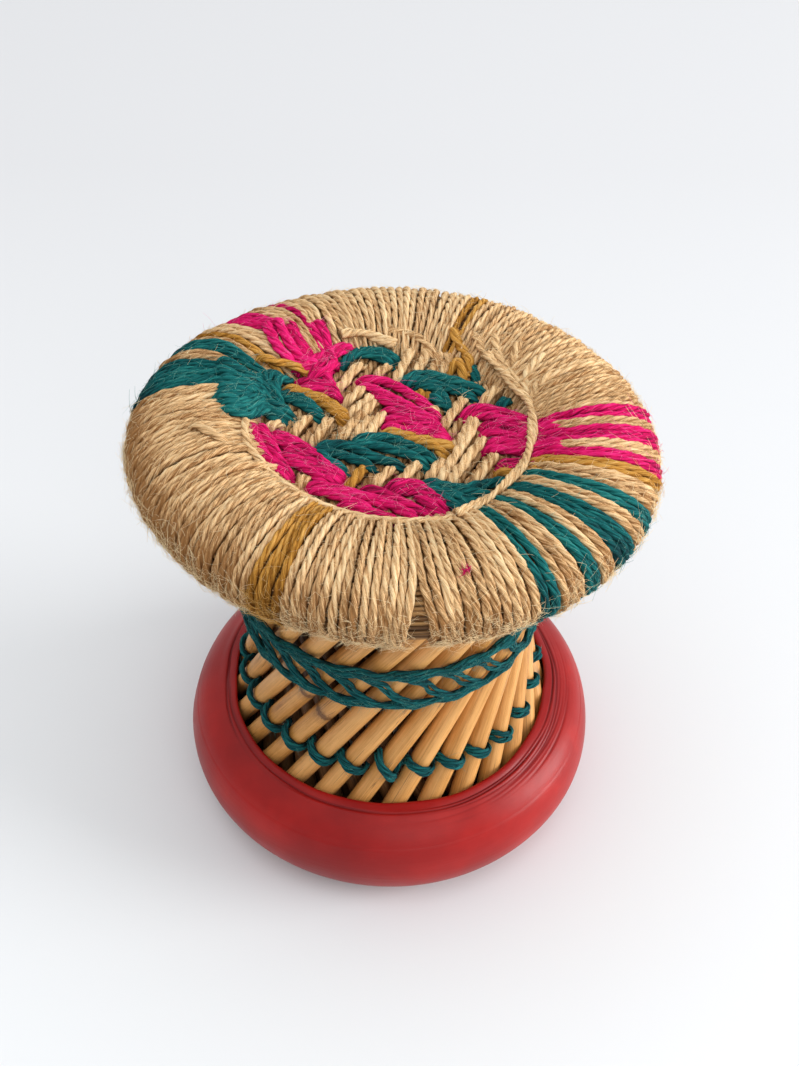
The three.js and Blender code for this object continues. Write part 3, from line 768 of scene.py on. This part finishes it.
order = 0
space = 0
for field, loops in FIELDS:
    parts = Parts()
    end = FIRST_SPACE + space * PITCH + loops * PITCH
    while FIRST_SPACE + (order + 0.5) * WRAP_PITCH < end and order < WRAP_COUNT:
        add_wrap(parts, FIRST_SPACE + (order + 0.5) * WRAP_PITCH, order)
        order += 1
    space += loops
    color = field.split("_")[0]
    parts.make(f"rim_rope_{field}", jute_slots, [f"rim_winding_{field}"], f"jute_{color}")

# The reeds inside the winding. They show where the wraps part, and between the wraps from below.
REED_WIDTH = 2.5
REED_STEPS = 130
REEDS_FROM, REEDS_TO = -1.2, 4.1
parts = Parts()
angle = np.linspace(REEDS_FROM, REEDS_TO, 400)
reach = RIM_RADIUS + (LINE_WIDTH - ROPE_RADIUS) * np.cos(angle)
level = RIM_HEIGHT + (LINE_HEIGHT - ROPE_RADIUS) * np.sin(angle)
run = arc_length(np.column_stack([reach, level]))
share = np.linspace(0, 1, REED_STEPS)
for place in np.arange(0, run[-1], REED_WIDTH):
    section = np.interp(place, run, angle)
    around = unit(np.array([math.cos(section) * LINE_HEIGHT, math.sin(section) * LINE_WIDTH]))
    turn = rng.uniform(0, TAU) + np.linspace(0.01, TAU, REED_STEPS)
    radius = np.interp(place, run, reach) + slow_wave(share, 0.2, 6)
    points = settled(ring_point(radius, turn, np.interp(place, run, level) + slow_wave(share, 0.15, 6)))
    outward = ring_point(around[0], turn, around[1])
    side = unit(np.cross(directions(points), outward))
    tone = rng.uniform(-0.2, 0.7)
    parts.tube(points, side, outward, 0.43 * REED_WIDTH, 0.8, 6, 0.3, tone, 0, rng.uniform(0, 90))
# A fleck of dyed fibre on the front.
FLECK = np.array([36.3, -121.9, 295.2])
FLECK_ROOTS = 6
fleck_out = np.tile(unit(FLECK - np.array([30.4, -106.2, RIM_HEIGHT])), (FLECK_ROOTS, 1))
spots = settled(np.tile(FLECK, (FLECK_ROOTS, 1)) + rng.normal(0, 0.8, (FLECK_ROOTS, 3)))
add_fuzz(parts, spots + 0.8 * fleck_out, fleck_out, 26, 1, (1.5, 4), 0.26, 0.25, 0.5)
nodes = ["rim_outer_bundle", "rim_inner_bundle", "rim_top_bundle"]
parts.make("rim_reeds", [reed, jute_slots[COLORS.index("magenta")]], nodes, "reed")


# Seat weave
SEAT_TOP = 288.5
SEAT_DISH = 1.6
SEAT_RADIUS = 82
SEAT_ROPE = 3.4
UPWARD = np.array([0, 0, 1.0])
# Places are read off a straight-down drawing of the seat, eight to the millimetre.
DRAWING_MIDDLE = 736
DRAWING_SCALE = 8


def seat_height(x, y):
    return SEAT_TOP - SEAT_DISH * (1 - (np.hypot(x, y) / SEAT_RADIUS) ** 2)


def top_height(x, y):
    """Height of the seat, or of the rim where that stands higher."""
    share = np.clip((RIM_RADIUS - np.hypot(x, y)) / RIM_HALF_WIDTH, -1, 1)
    return np.maximum(seat_height(x, y), RIM_HEIGHT + RIM_HALF_HEIGHT * np.sqrt(1 - share**2))


def drawn(places):
    """Places of the drawing, in millimetres from the middle of the seat."""
    x, y = np.transpose(places)
    return np.column_stack([x - DRAWING_MIDDLE, DRAWING_MIDDLE - y]) / DRAWING_SCALE


def flat_curve(places, step):
    return along_curve(np.column_stack([places, np.zeros(len(places))]), step)


def seat_float(parts, color, places, width=2 * SEAT_ROPE, top=0.0, dip=7.0, ends=5.0, tone=0.5):
    """A rope seen from end to end between two places where it dives under its neighbours."""
    places = drawn(places)
    first, last = unit(places[0] - places[1]), unit(places[-1] - places[-2])
    points = flat_curve(np.vstack([places[0] + first * ends, places, places[-1] + last * ends]), 1.3)
    run = arc_length(points)
    share = run / run[-1]
    room = np.minimum(run, run[-1] - run)
    radius = width / 2
    sink = dip * (1 - smooth(room / (ends + 4.5)))
    points[:, :2] += np.column_stack([slow_wave(share, 0.25), slow_wave(share, 0.25)])
    points[:, 2] = top_height(points[:, 0], points[:, 1]) - radius * 0.86 + top - sink
    points[:, 2] += slow_wave(share, 0.25, 2)
    points = settled(points)
    slot = COLORS.index(color)
    plies, lay_length, fill = MAKES[color]
    lay_length = lay_length * rng.uniform(0.8, 1.1)
    phase = rng.uniform(0, TAU)
    tone = tone + rng.uniform(-0.2, 0.2)
    lay_rope(parts, points, UPWARD, radius, plies, lay_length, 8, 1.0, 0.84, phase, tone, slot, fill)
    outward = np.tile(UPWARD, (len(points), 1))
    add_fuzz(parts, points + outward * radius * 0.75, outward, int(3 + run[-1] / 3), slot, (2, 9))


def double_rope(parts, places, radius, spread, top):
    """Two ropes laid side by side and slowly crossing, along the places on the seat and the rim."""
    points = flat_curve(drawn(places), 1.2)
    points[:, 2] = top_height(points[:, 0], points[:, 1]) + top
    points = settled(points)
    side = unit(np.cross(directions(points), UPWARD))
    outward = np.tile(UPWARD, (len(points), 1))
    run = arc_length(points)
    for rope in range(2):
        turn = TAU * run / 75 + rope * math.pi
        path = points + side * (spread * np.cos(turn))[:, None]
        path = path + UPWARD * (0.5 * spread * np.sin(turn))[:, None]
        lay_rope(parts, path, UPWARD, radius, 3, 17, 8, phase=rng.uniform(0, TAU), tone=rng.uniform(0.4, 0.7))
        add_fuzz(parts, path + outward * radius * 0.8, outward, int(run[-1] / 4), 0, (2, 8))


FLOATS = {
    "natural": [
        [(470, 450), (585, 240)], [(515, 550), (605, 420)], [(660, 340), (712, 245)],
        [(745, 370), (780, 260), (825, 120)], [(840, 310), (880, 200), (895, 110)],
        [(900, 330), (940, 230), (955, 140)], [(950, 320), (985, 230), (990, 150)],
        [(540, 640), (600, 540), (640, 480)], [(285, 795), (360, 660)], [(375, 845), (455, 665)],
        [(495, 820), (580, 660), (655, 520)], [(560, 800), (600, 720), (640, 640)],
        [(615, 800), (695, 605)], [(175, 760), (235, 705)], [(325, 1150), (365, 1085)],
        [(955, 715), (1010, 600), (1065, 490)], [(1150, 510), (1225, 405)], [(910, 560), (940, 630)],
        [(895, 1065), (960, 935)], [(940, 1075), (1020, 900), (1110, 650)],
        [(990, 1080), (1060, 940), (1140, 775)], [(1010, 850), (1060, 740), (1105, 640)],
        [(1090, 1080), (1140, 990), (1190, 890)], [(655, 1125), (740, 995)], [(775, 1095), (855, 955)],
    ],
    "mustard": [
        [(545, 1145), (610, 1005)], [(845, 500), (865, 440)], [(880, 510), (895, 450)],
        [(240, 455), (350, 495), (450, 560), (530, 655)], [(250, 485), (350, 525), (440, 590), (510, 670)],
        [(700, 740), (830, 790), (1020, 850)], [(770, 790), (890, 830), (970, 890)],
        [(1190, 1000), (1290, 1035), (1440, 980)],
    ],
    "magenta": [
        [(575, 365), (700, 385), (800, 465), (870, 540), (945, 655)],
        [(585, 400), (690, 470), (790, 560), (940, 685)], [(640, 455), (720, 550), (850, 640), (955, 715)],
        [(695, 590), (800, 645), (970, 745)], [(700, 645), (800, 690), (985, 785)],
        [(700, 695), (800, 740), (960, 790)],
        [(1055, 595), (1140, 565), (1240, 600), (1335, 650), (1400, 640)],
        [(1080, 625), (1180, 620), (1330, 690), (1410, 680)],
        [(1135, 690), (1230, 700), (1325, 740), (1410, 725)],
        [(1145, 735), (1240, 755), (1320, 785), (1410, 775)],
        [(1160, 800), (1240, 810), (1315, 830), (1410, 820)],
        [(1150, 850), (1230, 860), (1300, 875), (1400, 860)],
        [(1200, 945), (1290, 955), (1390, 920)], [(1200, 980), (1290, 990), (1380, 960)],
        [(100, 735), (140, 860), (190, 990), (270, 1110)], [(140, 740), (190, 860), (240, 1000), (285, 1100)],
        [(200, 790), (330, 880), (430, 1000), (525, 1095)],
        [(190, 820), (300, 915), (420, 1035), (505, 1110)],
        [(245, 935), (360, 1010), (480, 1110)], [(260, 980), (350, 1040), (450, 1120)],
        [(370, 1145), (520, 1180), (710, 1250)], [(380, 1180), (500, 1215), (650, 1290)],
        [(520, 1260), (640, 1310), (760, 1345)], [(610, 1150), (740, 1205), (900, 1325)],
        [(625, 1190), (740, 1260), (840, 1340)], [(720, 1120), (820, 1105), (890, 1170), (960, 1260)],
        [(740, 1160), (840, 1160), (930, 1260)], [(850, 1180), (900, 1260), (960, 1330)],
        [(290, 400), (380, 420), (490, 515)], [(300, 445), (400, 470), (485, 515)],
        [(330, 375), (430, 440), (480, 490)], [(430, 290), (425, 370), (460, 450)],
    ],
    "teal": [
        [(560, 810), (700, 800), (820, 850), (930, 940)], [(550, 845), (680, 860), (800, 905), (880, 970)],
        [(400, 870), (520, 860), (640, 930), (780, 990)], [(390, 890), (480, 925), (560, 960), (650, 1000)],
        [(400, 910), (450, 975), (520, 1030)], [(485, 250), (560, 170), (650, 180), (725, 245)],
        [(500, 215), (580, 145), (680, 155), (755, 220)], [(780, 370), (870, 325), (1000, 360), (1150, 440)],
        [(790, 395), (880, 365), (980, 420), (1110, 480)], [(850, 390), (930, 440), (990, 545)],
        [(900, 480), (950, 530), (1000, 560)], [(1095, 240), (1120, 320)], [(1215, 545), (1265, 490)],
        [(880, 1090), (1000, 1130), (1100, 1110), (1240, 1070)], [(885, 1105), (960, 1190), (1030, 1290)],
        [(930, 1120), (1010, 1180), (1060, 1260)], [(1000, 1130), (1090, 1160), (1160, 1180)],
        [(1020, 1180), (1080, 1220), (1150, 1225)], [(200, 500), (300, 560), (405, 660)],
        [(230, 490), (330, 555), (410, 640)], [(150, 555), (270, 650)], [(130, 590), (250, 690)],
        [(150, 620), (200, 680), (240, 700)],
    ],
}
# Short ropes that cross on the knots, where the wraps are drawn together.
KNOT_FLOATS = {
    "magenta": [
        [(120, 60), (150, 150), (200, 250), (290, 320), (370, 320)],
        [(170, 40), (215, 150), (280, 250), (380, 310)], [(230, 40), (270, 130), (320, 230), (400, 290)],
        [(320, 30), (370, 130), (400, 220), (430, 290)], [(370, 20), (405, 110), (430, 210), (450, 280)],
        [(290, 330), (370, 250), (440, 180), (525, 135)], [(330, 345), (400, 290), (450, 210), (500, 165)],
        [(350, 380), (420, 330), (460, 260)],
    ],
    "teal": [
        [(-40, 505), (30, 530), (100, 545), (150, 575)], [(-40, 600), (30, 610), (100, 590), (150, 560)],
        [(-20, 680), (50, 690), (110, 655), (160, 610)], [(-60, 380), (20, 430), (110, 490), (160, 560)],
        [(-60, 450), (20, 490), (100, 530), (150, 590)], [(-60, 560), (20, 570), (90, 560), (140, 530)],
        [(-50, 640), (30, 650), (100, 620), (150, 580)], [(-20, 720), (60, 730), (120, 690), (170, 640)],
        [(215, 395), (165, 420), (150, 480), (170, 560)], [(240, 410), (205, 450), (195, 510), (215, 560)],
        [(90, 450), (130, 480), (145, 540), (110, 590)],
    ],
}
# Single ropes on the rim's slope: width, rise over the top, dip and reach of the ends, and the places.
RIM_FLOATS = {
    "mustard": [
        ((6, 5, 4, 2), [[(120, 330), (180, 350), (240, 335), (320, 350)]]),
        ((6.5, 2.5, 5, 2), [[(1015, 30), (1040, 130), (1080, 200), (1085, 300)]]),
        ((6.5, 2, 5, 2), [[(1000, 290), (1035, 240), (1060, 330)]]),
    ],
    "magenta": [
        ((5.8, 2.3, 3, 2), [
            [(1300, 874), (1400, 896), (1470, 912)], [(1305, 850), (1400, 870), (1465, 884)],
            [(1310, 760), (1400, 766), (1470, 770)], [(1310, 735), (1400, 738), (1465, 740)],
        ]),
    ],
    "natural": [
        ((6, 1.5, 5, 3), [
            [(1110, 60), (1150, 180), (1230, 320), (1290, 430)], [(1200, 80), (1230, 230), (1290, 390)],
            [(1330, 140), (1290, 280), (1310, 430), (1350, 540)], [(1470, 390), (1400, 450), (1370, 540)],
            [(1440, 240), (1350, 370), (1350, 480)], [(700, 25), (800, 50), (880, 100), (925, 180)],
        ]),
    ],
}
STUB = [(-150, 868), (-26, 946), (28, 972)]
# Two double ropes: the places, the radius of a rope, how far the ropes lie apart, and the rise.
DOUBLE_ROPES = [
    ([(1165, 220), (1235, 340), (1290, 450), (1345, 560), (1355, 680), (1350, 790), (1330, 900),
      (1290, 1020), (1230, 1120), (1150, 1225), (1070, 1310), (1000, 1365)], 1.95, 1.3, 2.0),
    ([(480, 95), (560, 75), (650, 90), (745, 135)], 2.5, 1.8, 1.5),
]
LEFT_EDGE = [(78, 740), (84, 830), (100, 920), (125, 1000), (170, 1080)]
LOWER_EDGE = [(160, 1070), (260, 1180), (400, 1285), (560, 1350), (700, 1380), (900, 1390), (1010, 1365)]

for color in ("natural", "mustard", "magenta", "teal"):
    parts = Parts()
    for places in FLOATS[color]:
        seat_float(parts, color, places, tone=0.3 if color == "natural" else 0.35)
    for places in KNOT_FLOATS.get(color, []):
        seat_float(parts, color, places, top=rng.uniform(2.5, 4.5), dip=5, ends=3)
    for shape, floats in RIM_FLOATS.get(color, []):
        for places in floats:
            seat_float(parts, color, places, *shape)
    if color == "natural":
        seat_float(parts, color, STUB, 5.6, 3.4, 7, 3, 0.3)
        for double in DOUBLE_ROPES:
            double_rope(parts, *double)
        seat_float(parts, color, LEFT_EDGE, 5, 3.2, 4, 2, 0.3)
        seat_float(parts, color, LOWER_EDGE, 4.4, 1.8, 4, 2)
    parts.make(f"seat_floats_{color}", jute_slots, ["seat_web"], f"jute_{color}")

# The ground of the weave: two layers of ropes that cross under the floats.
GROUND_STEP = 6.9
GROUND_LINES = 12
GROUND_RADIUS = 88
# Each layer: direction in degrees, depth under the seat's height, and which lines in it are teal.
GROUND_LAYERS = [(63, 8.0, 0), (-24, 12.5, 4)]
parts = Parts()
for direction, depth, teal_every in GROUND_LAYERS:
    angle = math.radians(direction)
    heading = np.array([math.cos(angle), math.sin(angle)])
    aside = np.array([-math.sin(angle), math.cos(angle)])
    for line in range(-GROUND_LINES, GROUND_LINES + 1):
        off = line * GROUND_STEP
        half = math.sqrt(GROUND_RADIUS**2 - off**2)
        run = np.linspace(-half, half, max(8, int(half / 0.8)))
        flat = aside * off + heading * run[:, None]
        points = settled(np.column_stack([flat, seat_height(flat[:, 0], flat[:, 1]) - depth]))
        slot = COLORS.index("teal" if teal_every and line % teal_every == 0 else "natural")
        phase = rng.uniform(0, TAU)
        # The ground ropes take low tones: painted shade in the gaps under the floats.
        lay_rope(parts, points, UPWARD, SEAT_ROPE, 3, 20, 7, 1.0, 0.9, phase, rng.uniform(-0.5, 0.1), slot)
parts.make("seat_ground", jute_slots, ["seat_web"], "jute_natural")


# Waist bands and the lacing between them
LOWER_BAND_STRAND = 1.9
UPPER_BAND_STRAND = 2.15
BAND_STEPS = 420
BAND_CROSSINGS = 9
BAND_START = math.radians(95)
LINK_STRAND = 1.55
CORD_GAP = 0.3


def add_cord(parts, path, outward, radius, plies, lay_length, sides, fibres, **twist):
    """A cord with a few loose fibres. The twist is what else lay_rope takes."""
    lay_rope(parts, path, outward, radius, plies, lay_length, sides, **twist)
    add_fuzz(parts, path + outward * radius * 0.8, outward, fibres, 0, (2, 6), radius=0.09, lift=0.6)


def make_cord(parts, name, node):
    parts.bend(drawn_in)
    parts.make(name, [cord_teal], [node], "cord_teal")


def level_outward(path):
    return unit(path * np.array([1, 1, 0]))


for name, middle, strand in [
    ("lower_band", LOWER_BAND, LOWER_BAND_STRAND),
    ("upper_band", UPPER_BAND, UPPER_BAND_STRAND),
]:
    parts = Parts()
    azimuth = np.linspace(0, TAU, BAND_STEPS) + BAND_START
    height = middle + slow_wave(np.linspace(0, 1, BAND_STEPS), 0.5, 4)
    outward = ring_point(1, azimuth, 0)
    over = np.cos(CANE_COUNT * (azimuth - OUTER_START - layer_turn(OUTER, height)))
    for rope in range(2):
        cross = BAND_CROSSINGS * azimuth + rope * math.pi
        proud = CORD_GAP + strand + 0.9 * (1 + np.sin(cross)) - 0.5 * (1 - over)
        radius = face_radius(OUTER, height, 1) + proud
        path = ring_point(radius, azimuth, height + (strand - 0.25) * np.cos(cross))
        phase = rng.uniform(0, TAU)
        add_cord(parts, path, outward, strand, 4, 45, 8, BAND_STEPS, phase=phase, fill=0.48)
    make_cord(parts, f"cord_{name}", f"waist_{name}")

parts = Parts()
for link in range(CANE_COUNT):
    start = OUTER_START + link * PITCH + rng.uniform(-0.1, 0.1) * PITCH
    for strand in (-1, 1):
        loose = rng.uniform(-0.06, 0.06, 6)
        controls = []
        for place, level, proud in [
            (-0.62, UPPER_BAND + 0.6, 2.6),
            (-0.25, UPPER_BAND - 0.6, 3.2),
            (0.02, UPPER_BAND - 6, 2.4),
            (0.3 + loose[0], UPPER_BAND - 12 + 9 * loose[1], 1.7),
            (0.55 + loose[2], LOWER_BAND + 9 + 9 * loose[3], 1.7),
            (0.82, LOWER_BAND + 4.5, 2.5),
            (1.1, LOWER_BAND + 1, 3.1),
            (1.5, LOWER_BAND - 0.6, 2.4),
        ]:
            azimuth = start + (place + strand * 0.085) * PITCH
            radius = face_radius(OUTER, level, 1) + CORD_GAP + proud
            controls.append(ring_point(radius, azimuth, level + strand * 0.4))
        path = along_curve(np.array(controls), 1.1)
        phase = rng.uniform(0, TAU)
        add_cord(parts, path, level_outward(path), LINK_STRAND, 3, 30, 7, 10, phase=phase, fill=0.52)
make_cord(parts, "cord_lacing", "waist_lacing")

# Lower tie
TIE_STRAND = 1.9
TIE_RISE = 1.55
# Half turns round a cane at which the tie has a place.
LOOP_SHARES = (-0.52, -0.34, -0.17, 0, 0.17, 0.34, 0.52)
# The cane whose loop hangs aslant, and by how much.
SLANTED_LOOP, SLANT = 0, 13
# The tie hangs lower at the front right: millimetres, direction and reach in degrees.
SAG, SAG_DIRECTION, SAG_REACH = 6.5, -38, 27


def tie_points(strand):
    """A cord that goes over each cane and back between the canes."""
    reach = OUTER_CANE_RADIUS + TIE_STRAND + 0.35
    controls = []
    for cane in range(CANE_COUNT):
        azimuth = OUTER_START + cane * PITCH
        along = cane_axis(OUTER, azimuth)
        off = degrees_from(SAG_DIRECTION, azimuth + layer_turn(OUTER, TIE_HEIGHT))
        level = TIE_HEIGHT - SAG * bell(off, SAG_REACH)
        middle = cane_point(OUTER, azimuth, level) + along * rng.uniform(-0.8, 0.8)
        outward = ring_point(1, azimuth + layer_turn(OUTER, level), 0)
        outward = unit(outward - along * (outward @ along))
        across = np.cross(along, outward)
        for share in LOOP_SHARES:
            angle = share * math.pi
            rise = strand * (TIE_RISE + 0.35 * math.sin(3 * angle + cane))
            if cane == SLANTED_LOOP:
                rise -= SLANT * share
            place = middle + outward * reach * math.cos(angle) + across * reach * math.sin(angle)
            controls.append(place + along * rise)
        space_azimuth = azimuth + PITCH / 2 + layer_turn(OUTER, level)
        space_radius = face_radius(OUTER, level, 1) - 9
        controls.append(ring_point(space_radius, space_azimuth, level + strand * 1.2))
    return along_curve(np.array(controls[:-1]), 1.1)


parts = Parts()
for strand in (-1, 1):
    path = tie_points(strand)
    add_cord(parts, path, level_outward(path), TIE_STRAND, 3, 26, 7, 150, fill=0.52, uneven=0.03)
make_cord(parts, "cord_lower_tie", "lower_tie_cord")


# Rubber cover
COVER_SEGMENTS = 400
LIP_DROP = 4.5
# The lip from inside the canes' faces to its crest and out: drop from the top, and distance out.
LIP = [(LIP_DROP, 0.4), (2.6, 0.3), (1.2, 0.45), (0.35, 0.9), (0.0, 1.6), (-0.15, 2.5), (0.1, 3.4)]
LIP_RUN = 1.5
# The angle of the section at which the outside starts beside the lip.
COVER_START = 0.455 * math.pi
INNER_LIP_DROP = 13.6
RUBBER_WALL = 3
# The outside's points are close together over this run from the lip, for its creases.
FINE_RUN, FINE_STEP, COARSE_STEP = 26, 0.55, 2.4
# The creases round the lip: the run to the first, the step to the next, and how many there are. Those
# after the first two stay near this direction in degrees.
CREASE_RUN, CREASE_STEP, CREASES = 2.4, 2.0, 7
CREASED_SIDE, CREASED_REACH = -32, 42
# The padding has settled: how much rounder the section is at its lower and upper outer corners.
LOWER_ROUNDING, UPPER_ROUNDING = 2.3, 1.1
DENTS = 9
MOUTH_GAP, MOUTH_MOST = 1.5, 3.4


def cover_section(angle, inset):
    """The cover's section, set in from its outside, flat below and without what is over the inner lip."""
    power = 2 / BASE_FULLNESS
    across = np.sign(np.cos(angle)) * np.abs(np.cos(angle)) ** power
    above = np.sign(np.sin(angle)) * np.abs(np.sin(angle)) ** power
    radius = BASE_RADIUS + (BASE_HALF_WIDTH - inset) * across
    height = BASE_HEIGHT + (BASE_HALF_HEIGHT - inset) * above
    places = np.column_stack([radius, np.maximum(inset, height)])
    return places[(radius > BASE_RADIUS) | (height < BASE_TOP - INNER_LIP_DROP)]


def cover_profile():
    """Closed section from the lip's crest out, down, under and up inside, then back along the inner wall.

    Gives the places, and the run from the crest along the outside, nought on the fold and the inner wall.
    """
    lip = [(face_radius(OUTER, BASE_TOP - drop, 1) + out, BASE_TOP - drop) for drop, out in LIP]
    angles = COVER_START - np.linspace(0.01, 1, 900) * (math.pi + 2 * COVER_START)
    outside = cover_section(angles, 0)
    run = arc_length(outside)
    fine, coarse = np.arange(0, FINE_RUN, FINE_STEP), np.arange(FINE_RUN, run[-1], COARSE_STEP)
    keep = np.concatenate([fine, coarse, run[-1:]])
    inside = cover_section(angles[::36], RUBBER_WALL)[::-1]
    lengths = np.concatenate([np.zeros(len(lip)), keep + LIP_RUN, np.zeros(len(inside))])
    return np.vstack([lip, resampled(outside, run, keep), inside]), lengths


parts = Parts()
profile, lengths = cover_profile()
around = np.linspace(0, TAU, COVER_SEGMENTS, endpoint=False)
step = np.roll(profile, -1, 0) - np.roll(profile, 1, 0)
normal = unit(np.stack([-step[:, 1], step[:, 0]], -1))
turn = np.broadcast_to(around, (len(profile), COVER_SEGMENTS))
length = np.broadcast_to(lengths[:, None], turn.shape)
outer = (length > 0) * smooth((profile[:, 1:] - 8) / 30)
offset = np.zeros_like(turn)
# How much painted shade each point gets from the creases round the lip.
painted_crease_shade = np.zeros_like(turn)
right = bell(degrees_from(CREASED_SIDE, around), CREASED_REACH)
for crease in range(CREASES):
    middle = CREASE_RUN + CREASE_STEP * crease + ring_wave(around, 0.3, 1, 5)
    size = np.clip(0.72 + ring_wave(around, 0.26, 1, 6), 0.1, 1.15)
    if crease > 1:
        size = size * (np.clip(right - 0.05 * crease, 0, 1) * 0.8)
    fold = outer * size * bell(length - middle, 0.55 + 0.25 * rng.random())
    offset = offset - fold
    painted_crease_shade = np.clip(painted_crease_shade + 1.6 * fold, 0, 1)
corner = (length > 0) * np.clip(2 * normal[:, :1], 0, 2) * normal[:, 1:]
offset = offset - np.clip(-corner, 0, 1) * (LOWER_ROUNDING - 0.3 * np.cos(turn))
offset = offset - np.clip(corner, 0, 1) * UPPER_ROUNDING
offset = offset + outer * 0.5 * bell(length - 5, 3.5) * (1 + ring_wave(around, 0.3, 2, 6))
offset = offset + outer * ring_wave(around, 0.16, 2, 7) * smooth((length - 8) / 30)
for _ in range(DENTS):
    side = (around - rng.uniform(0, TAU) + math.pi) % TAU - math.pi
    level = rng.uniform(18, 60)
    dip = bell(side, rng.uniform(0.15, 0.4)) * bell(length - level, rng.uniform(4, 9))
    offset = offset - outer * rng.uniform(0.15, 0.45) * dip
radius = profile[:, :1] + normal[:, :1] * offset
height = profile[:, 1:] + normal[:, 1:] * offset
# The mouth of the cover is drawn out of round by its tight edge. It is closest at the left and the right.
near_lip = np.exp(-length / 7) * smooth((profile[:, 1:] - BASE_TOP + 9) / 5)
near_lip = near_lip * (profile[:, :1] > face_radius(OUTER, BASE_TOP - LIP_DROP, 1) - 1)
mouth = MOUTH_GAP - np.cos(around) ** 2 + ring_wave(around, 0.6, 2, 7) + ring_wave(around, 0.22, 9, 16)
radius = radius + near_lip * np.clip(mouth, 0, MOUTH_MOST)
verts = ring_point(radius, turn, height)
below = np.arange(turn.size).reshape(turn.shape)
above = np.roll(below, -1, 0)
quads = np.stack([below, above, np.roll(above, -1, 1), np.roll(below, -1, 1)], -1)
lay = np.stack([length, turn * BASE_RADIUS, 0 * turn], -1)
parts.add(verts, quads, [], lay, painted_crease_shade.reshape(-1))
parts.bend(drawn_in)
parts.make("base_cover", [rubber], ["rubber_cover"], "rubber_red")

for node in ["base_outer_bundle", "base_inner_bundle", "base_lower_bundle"]:
    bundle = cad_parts[node]
    bundle.data.materials.clear()
    bundle.data.materials.append(reed)


# Floor, light and camera. Sizes and places are in metres from here on.
FLOOR_HALF = 40.0
LIT_PLACE = (0, 0, 0.15)
SKY_TOP, SKY_LOW, SKY_SEEN = 1.8, 0.1, 0.86
SKY_COLOR = (0.985, 0.99, 1.0, 1)
CAMERA_PLACE = (-0.000014, -0.587925, 0.773521)
CAMERA_LENS = 45.854
CAMERA_DOWN, CAMERA_YAW, CAMERA_ROLL = (math.radians(value) for value in (44.1286, 0.4612, 0.9595))


def lamp(name, place, width, power):
    data = bpy.data.lights.new(name, "AREA")
    data.shape = "DISK"
    data.size = width
    data.energy = power
    light = add_object(name, data)
    light.location = place
    light.rotation_euler = (Vector(LIT_PLACE) - Vector(place)).to_track_quat("-Z", "Y").to_euler()


def studio_world():
    """Soft light that grows towards the top of the sky, seen by the camera as an even pale grey."""
    world = bpy.data.worlds.new("studio")
    bpy.context.scene.world = world
    world.use_nodes = True
    sky = Graph(world.node_tree)
    heading = sky.new("SeparateXYZ", Vector=sky.new("TexCoord").outputs["Generated"])
    height = sky.maths("MAXIMUM", heading.outputs["Z"], 0.0)
    glow = sky.add(sky.times(sky.times(height, height), SKY_TOP), SKY_LOW)
    path = sky.new("LightPath").outputs
    seen = sky.add(path["Is Camera Ray"], path["Is Glossy Ray"])
    seen = sky.maths("MINIMUM", sky.add(seen, path["Is Transmission Ray"]), 1.0)
    background = sky.tree.nodes["Background"].inputs
    background["Color"].default_value = SKY_COLOR
    unseen = sky.times(glow, sky.less(1.0, seen))
    sky.feed(background["Strength"], sky.add(unseen, sky.times(seen, SKY_SEEN)))


def camera_matrix():
    """The camera's place, with its turn to the side, how far it looks down, and its roll."""
    turn = Matrix.Rotation(-CAMERA_YAW, 4, "Z") @ Matrix.Rotation(math.pi / 2 - CAMERA_DOWN, 4, "X")
    return Matrix.Translation(CAMERA_PLACE) @ turn @ Matrix.Rotation(CAMERA_ROLL, 4, "Z")


mesh = bpy.data.meshes.new("floor")
corners = [(x * FLOOR_HALF, y * FLOOR_HALF, 0) for x, y in [(-1, -1), (1, -1), (1, 1), (-1, 1)]]
mesh.from_pydata(corners, [], [(0, 1, 2, 3)])
mesh.materials.append(floor_material())
floor = add_object("floor", mesh)

lamp("key", (4.3, -0.5, 1.1), 2.6, 204)
lamp("front", (1.2, -3.6, 2.2), 2.8, 34)
studio_world()

camera_data = bpy.data.cameras.new("camera")
camera_data.lens = CAMERA_LENS
camera_data.sensor_width = 36
camera_data.sensor_fit = "AUTO"
camera = add_object("camera", camera_data)
camera.matrix_world = camera_matrix()
bpy.context.scene.camera = camera
bpy.context.scene.view_settings.view_transform = "Standard"
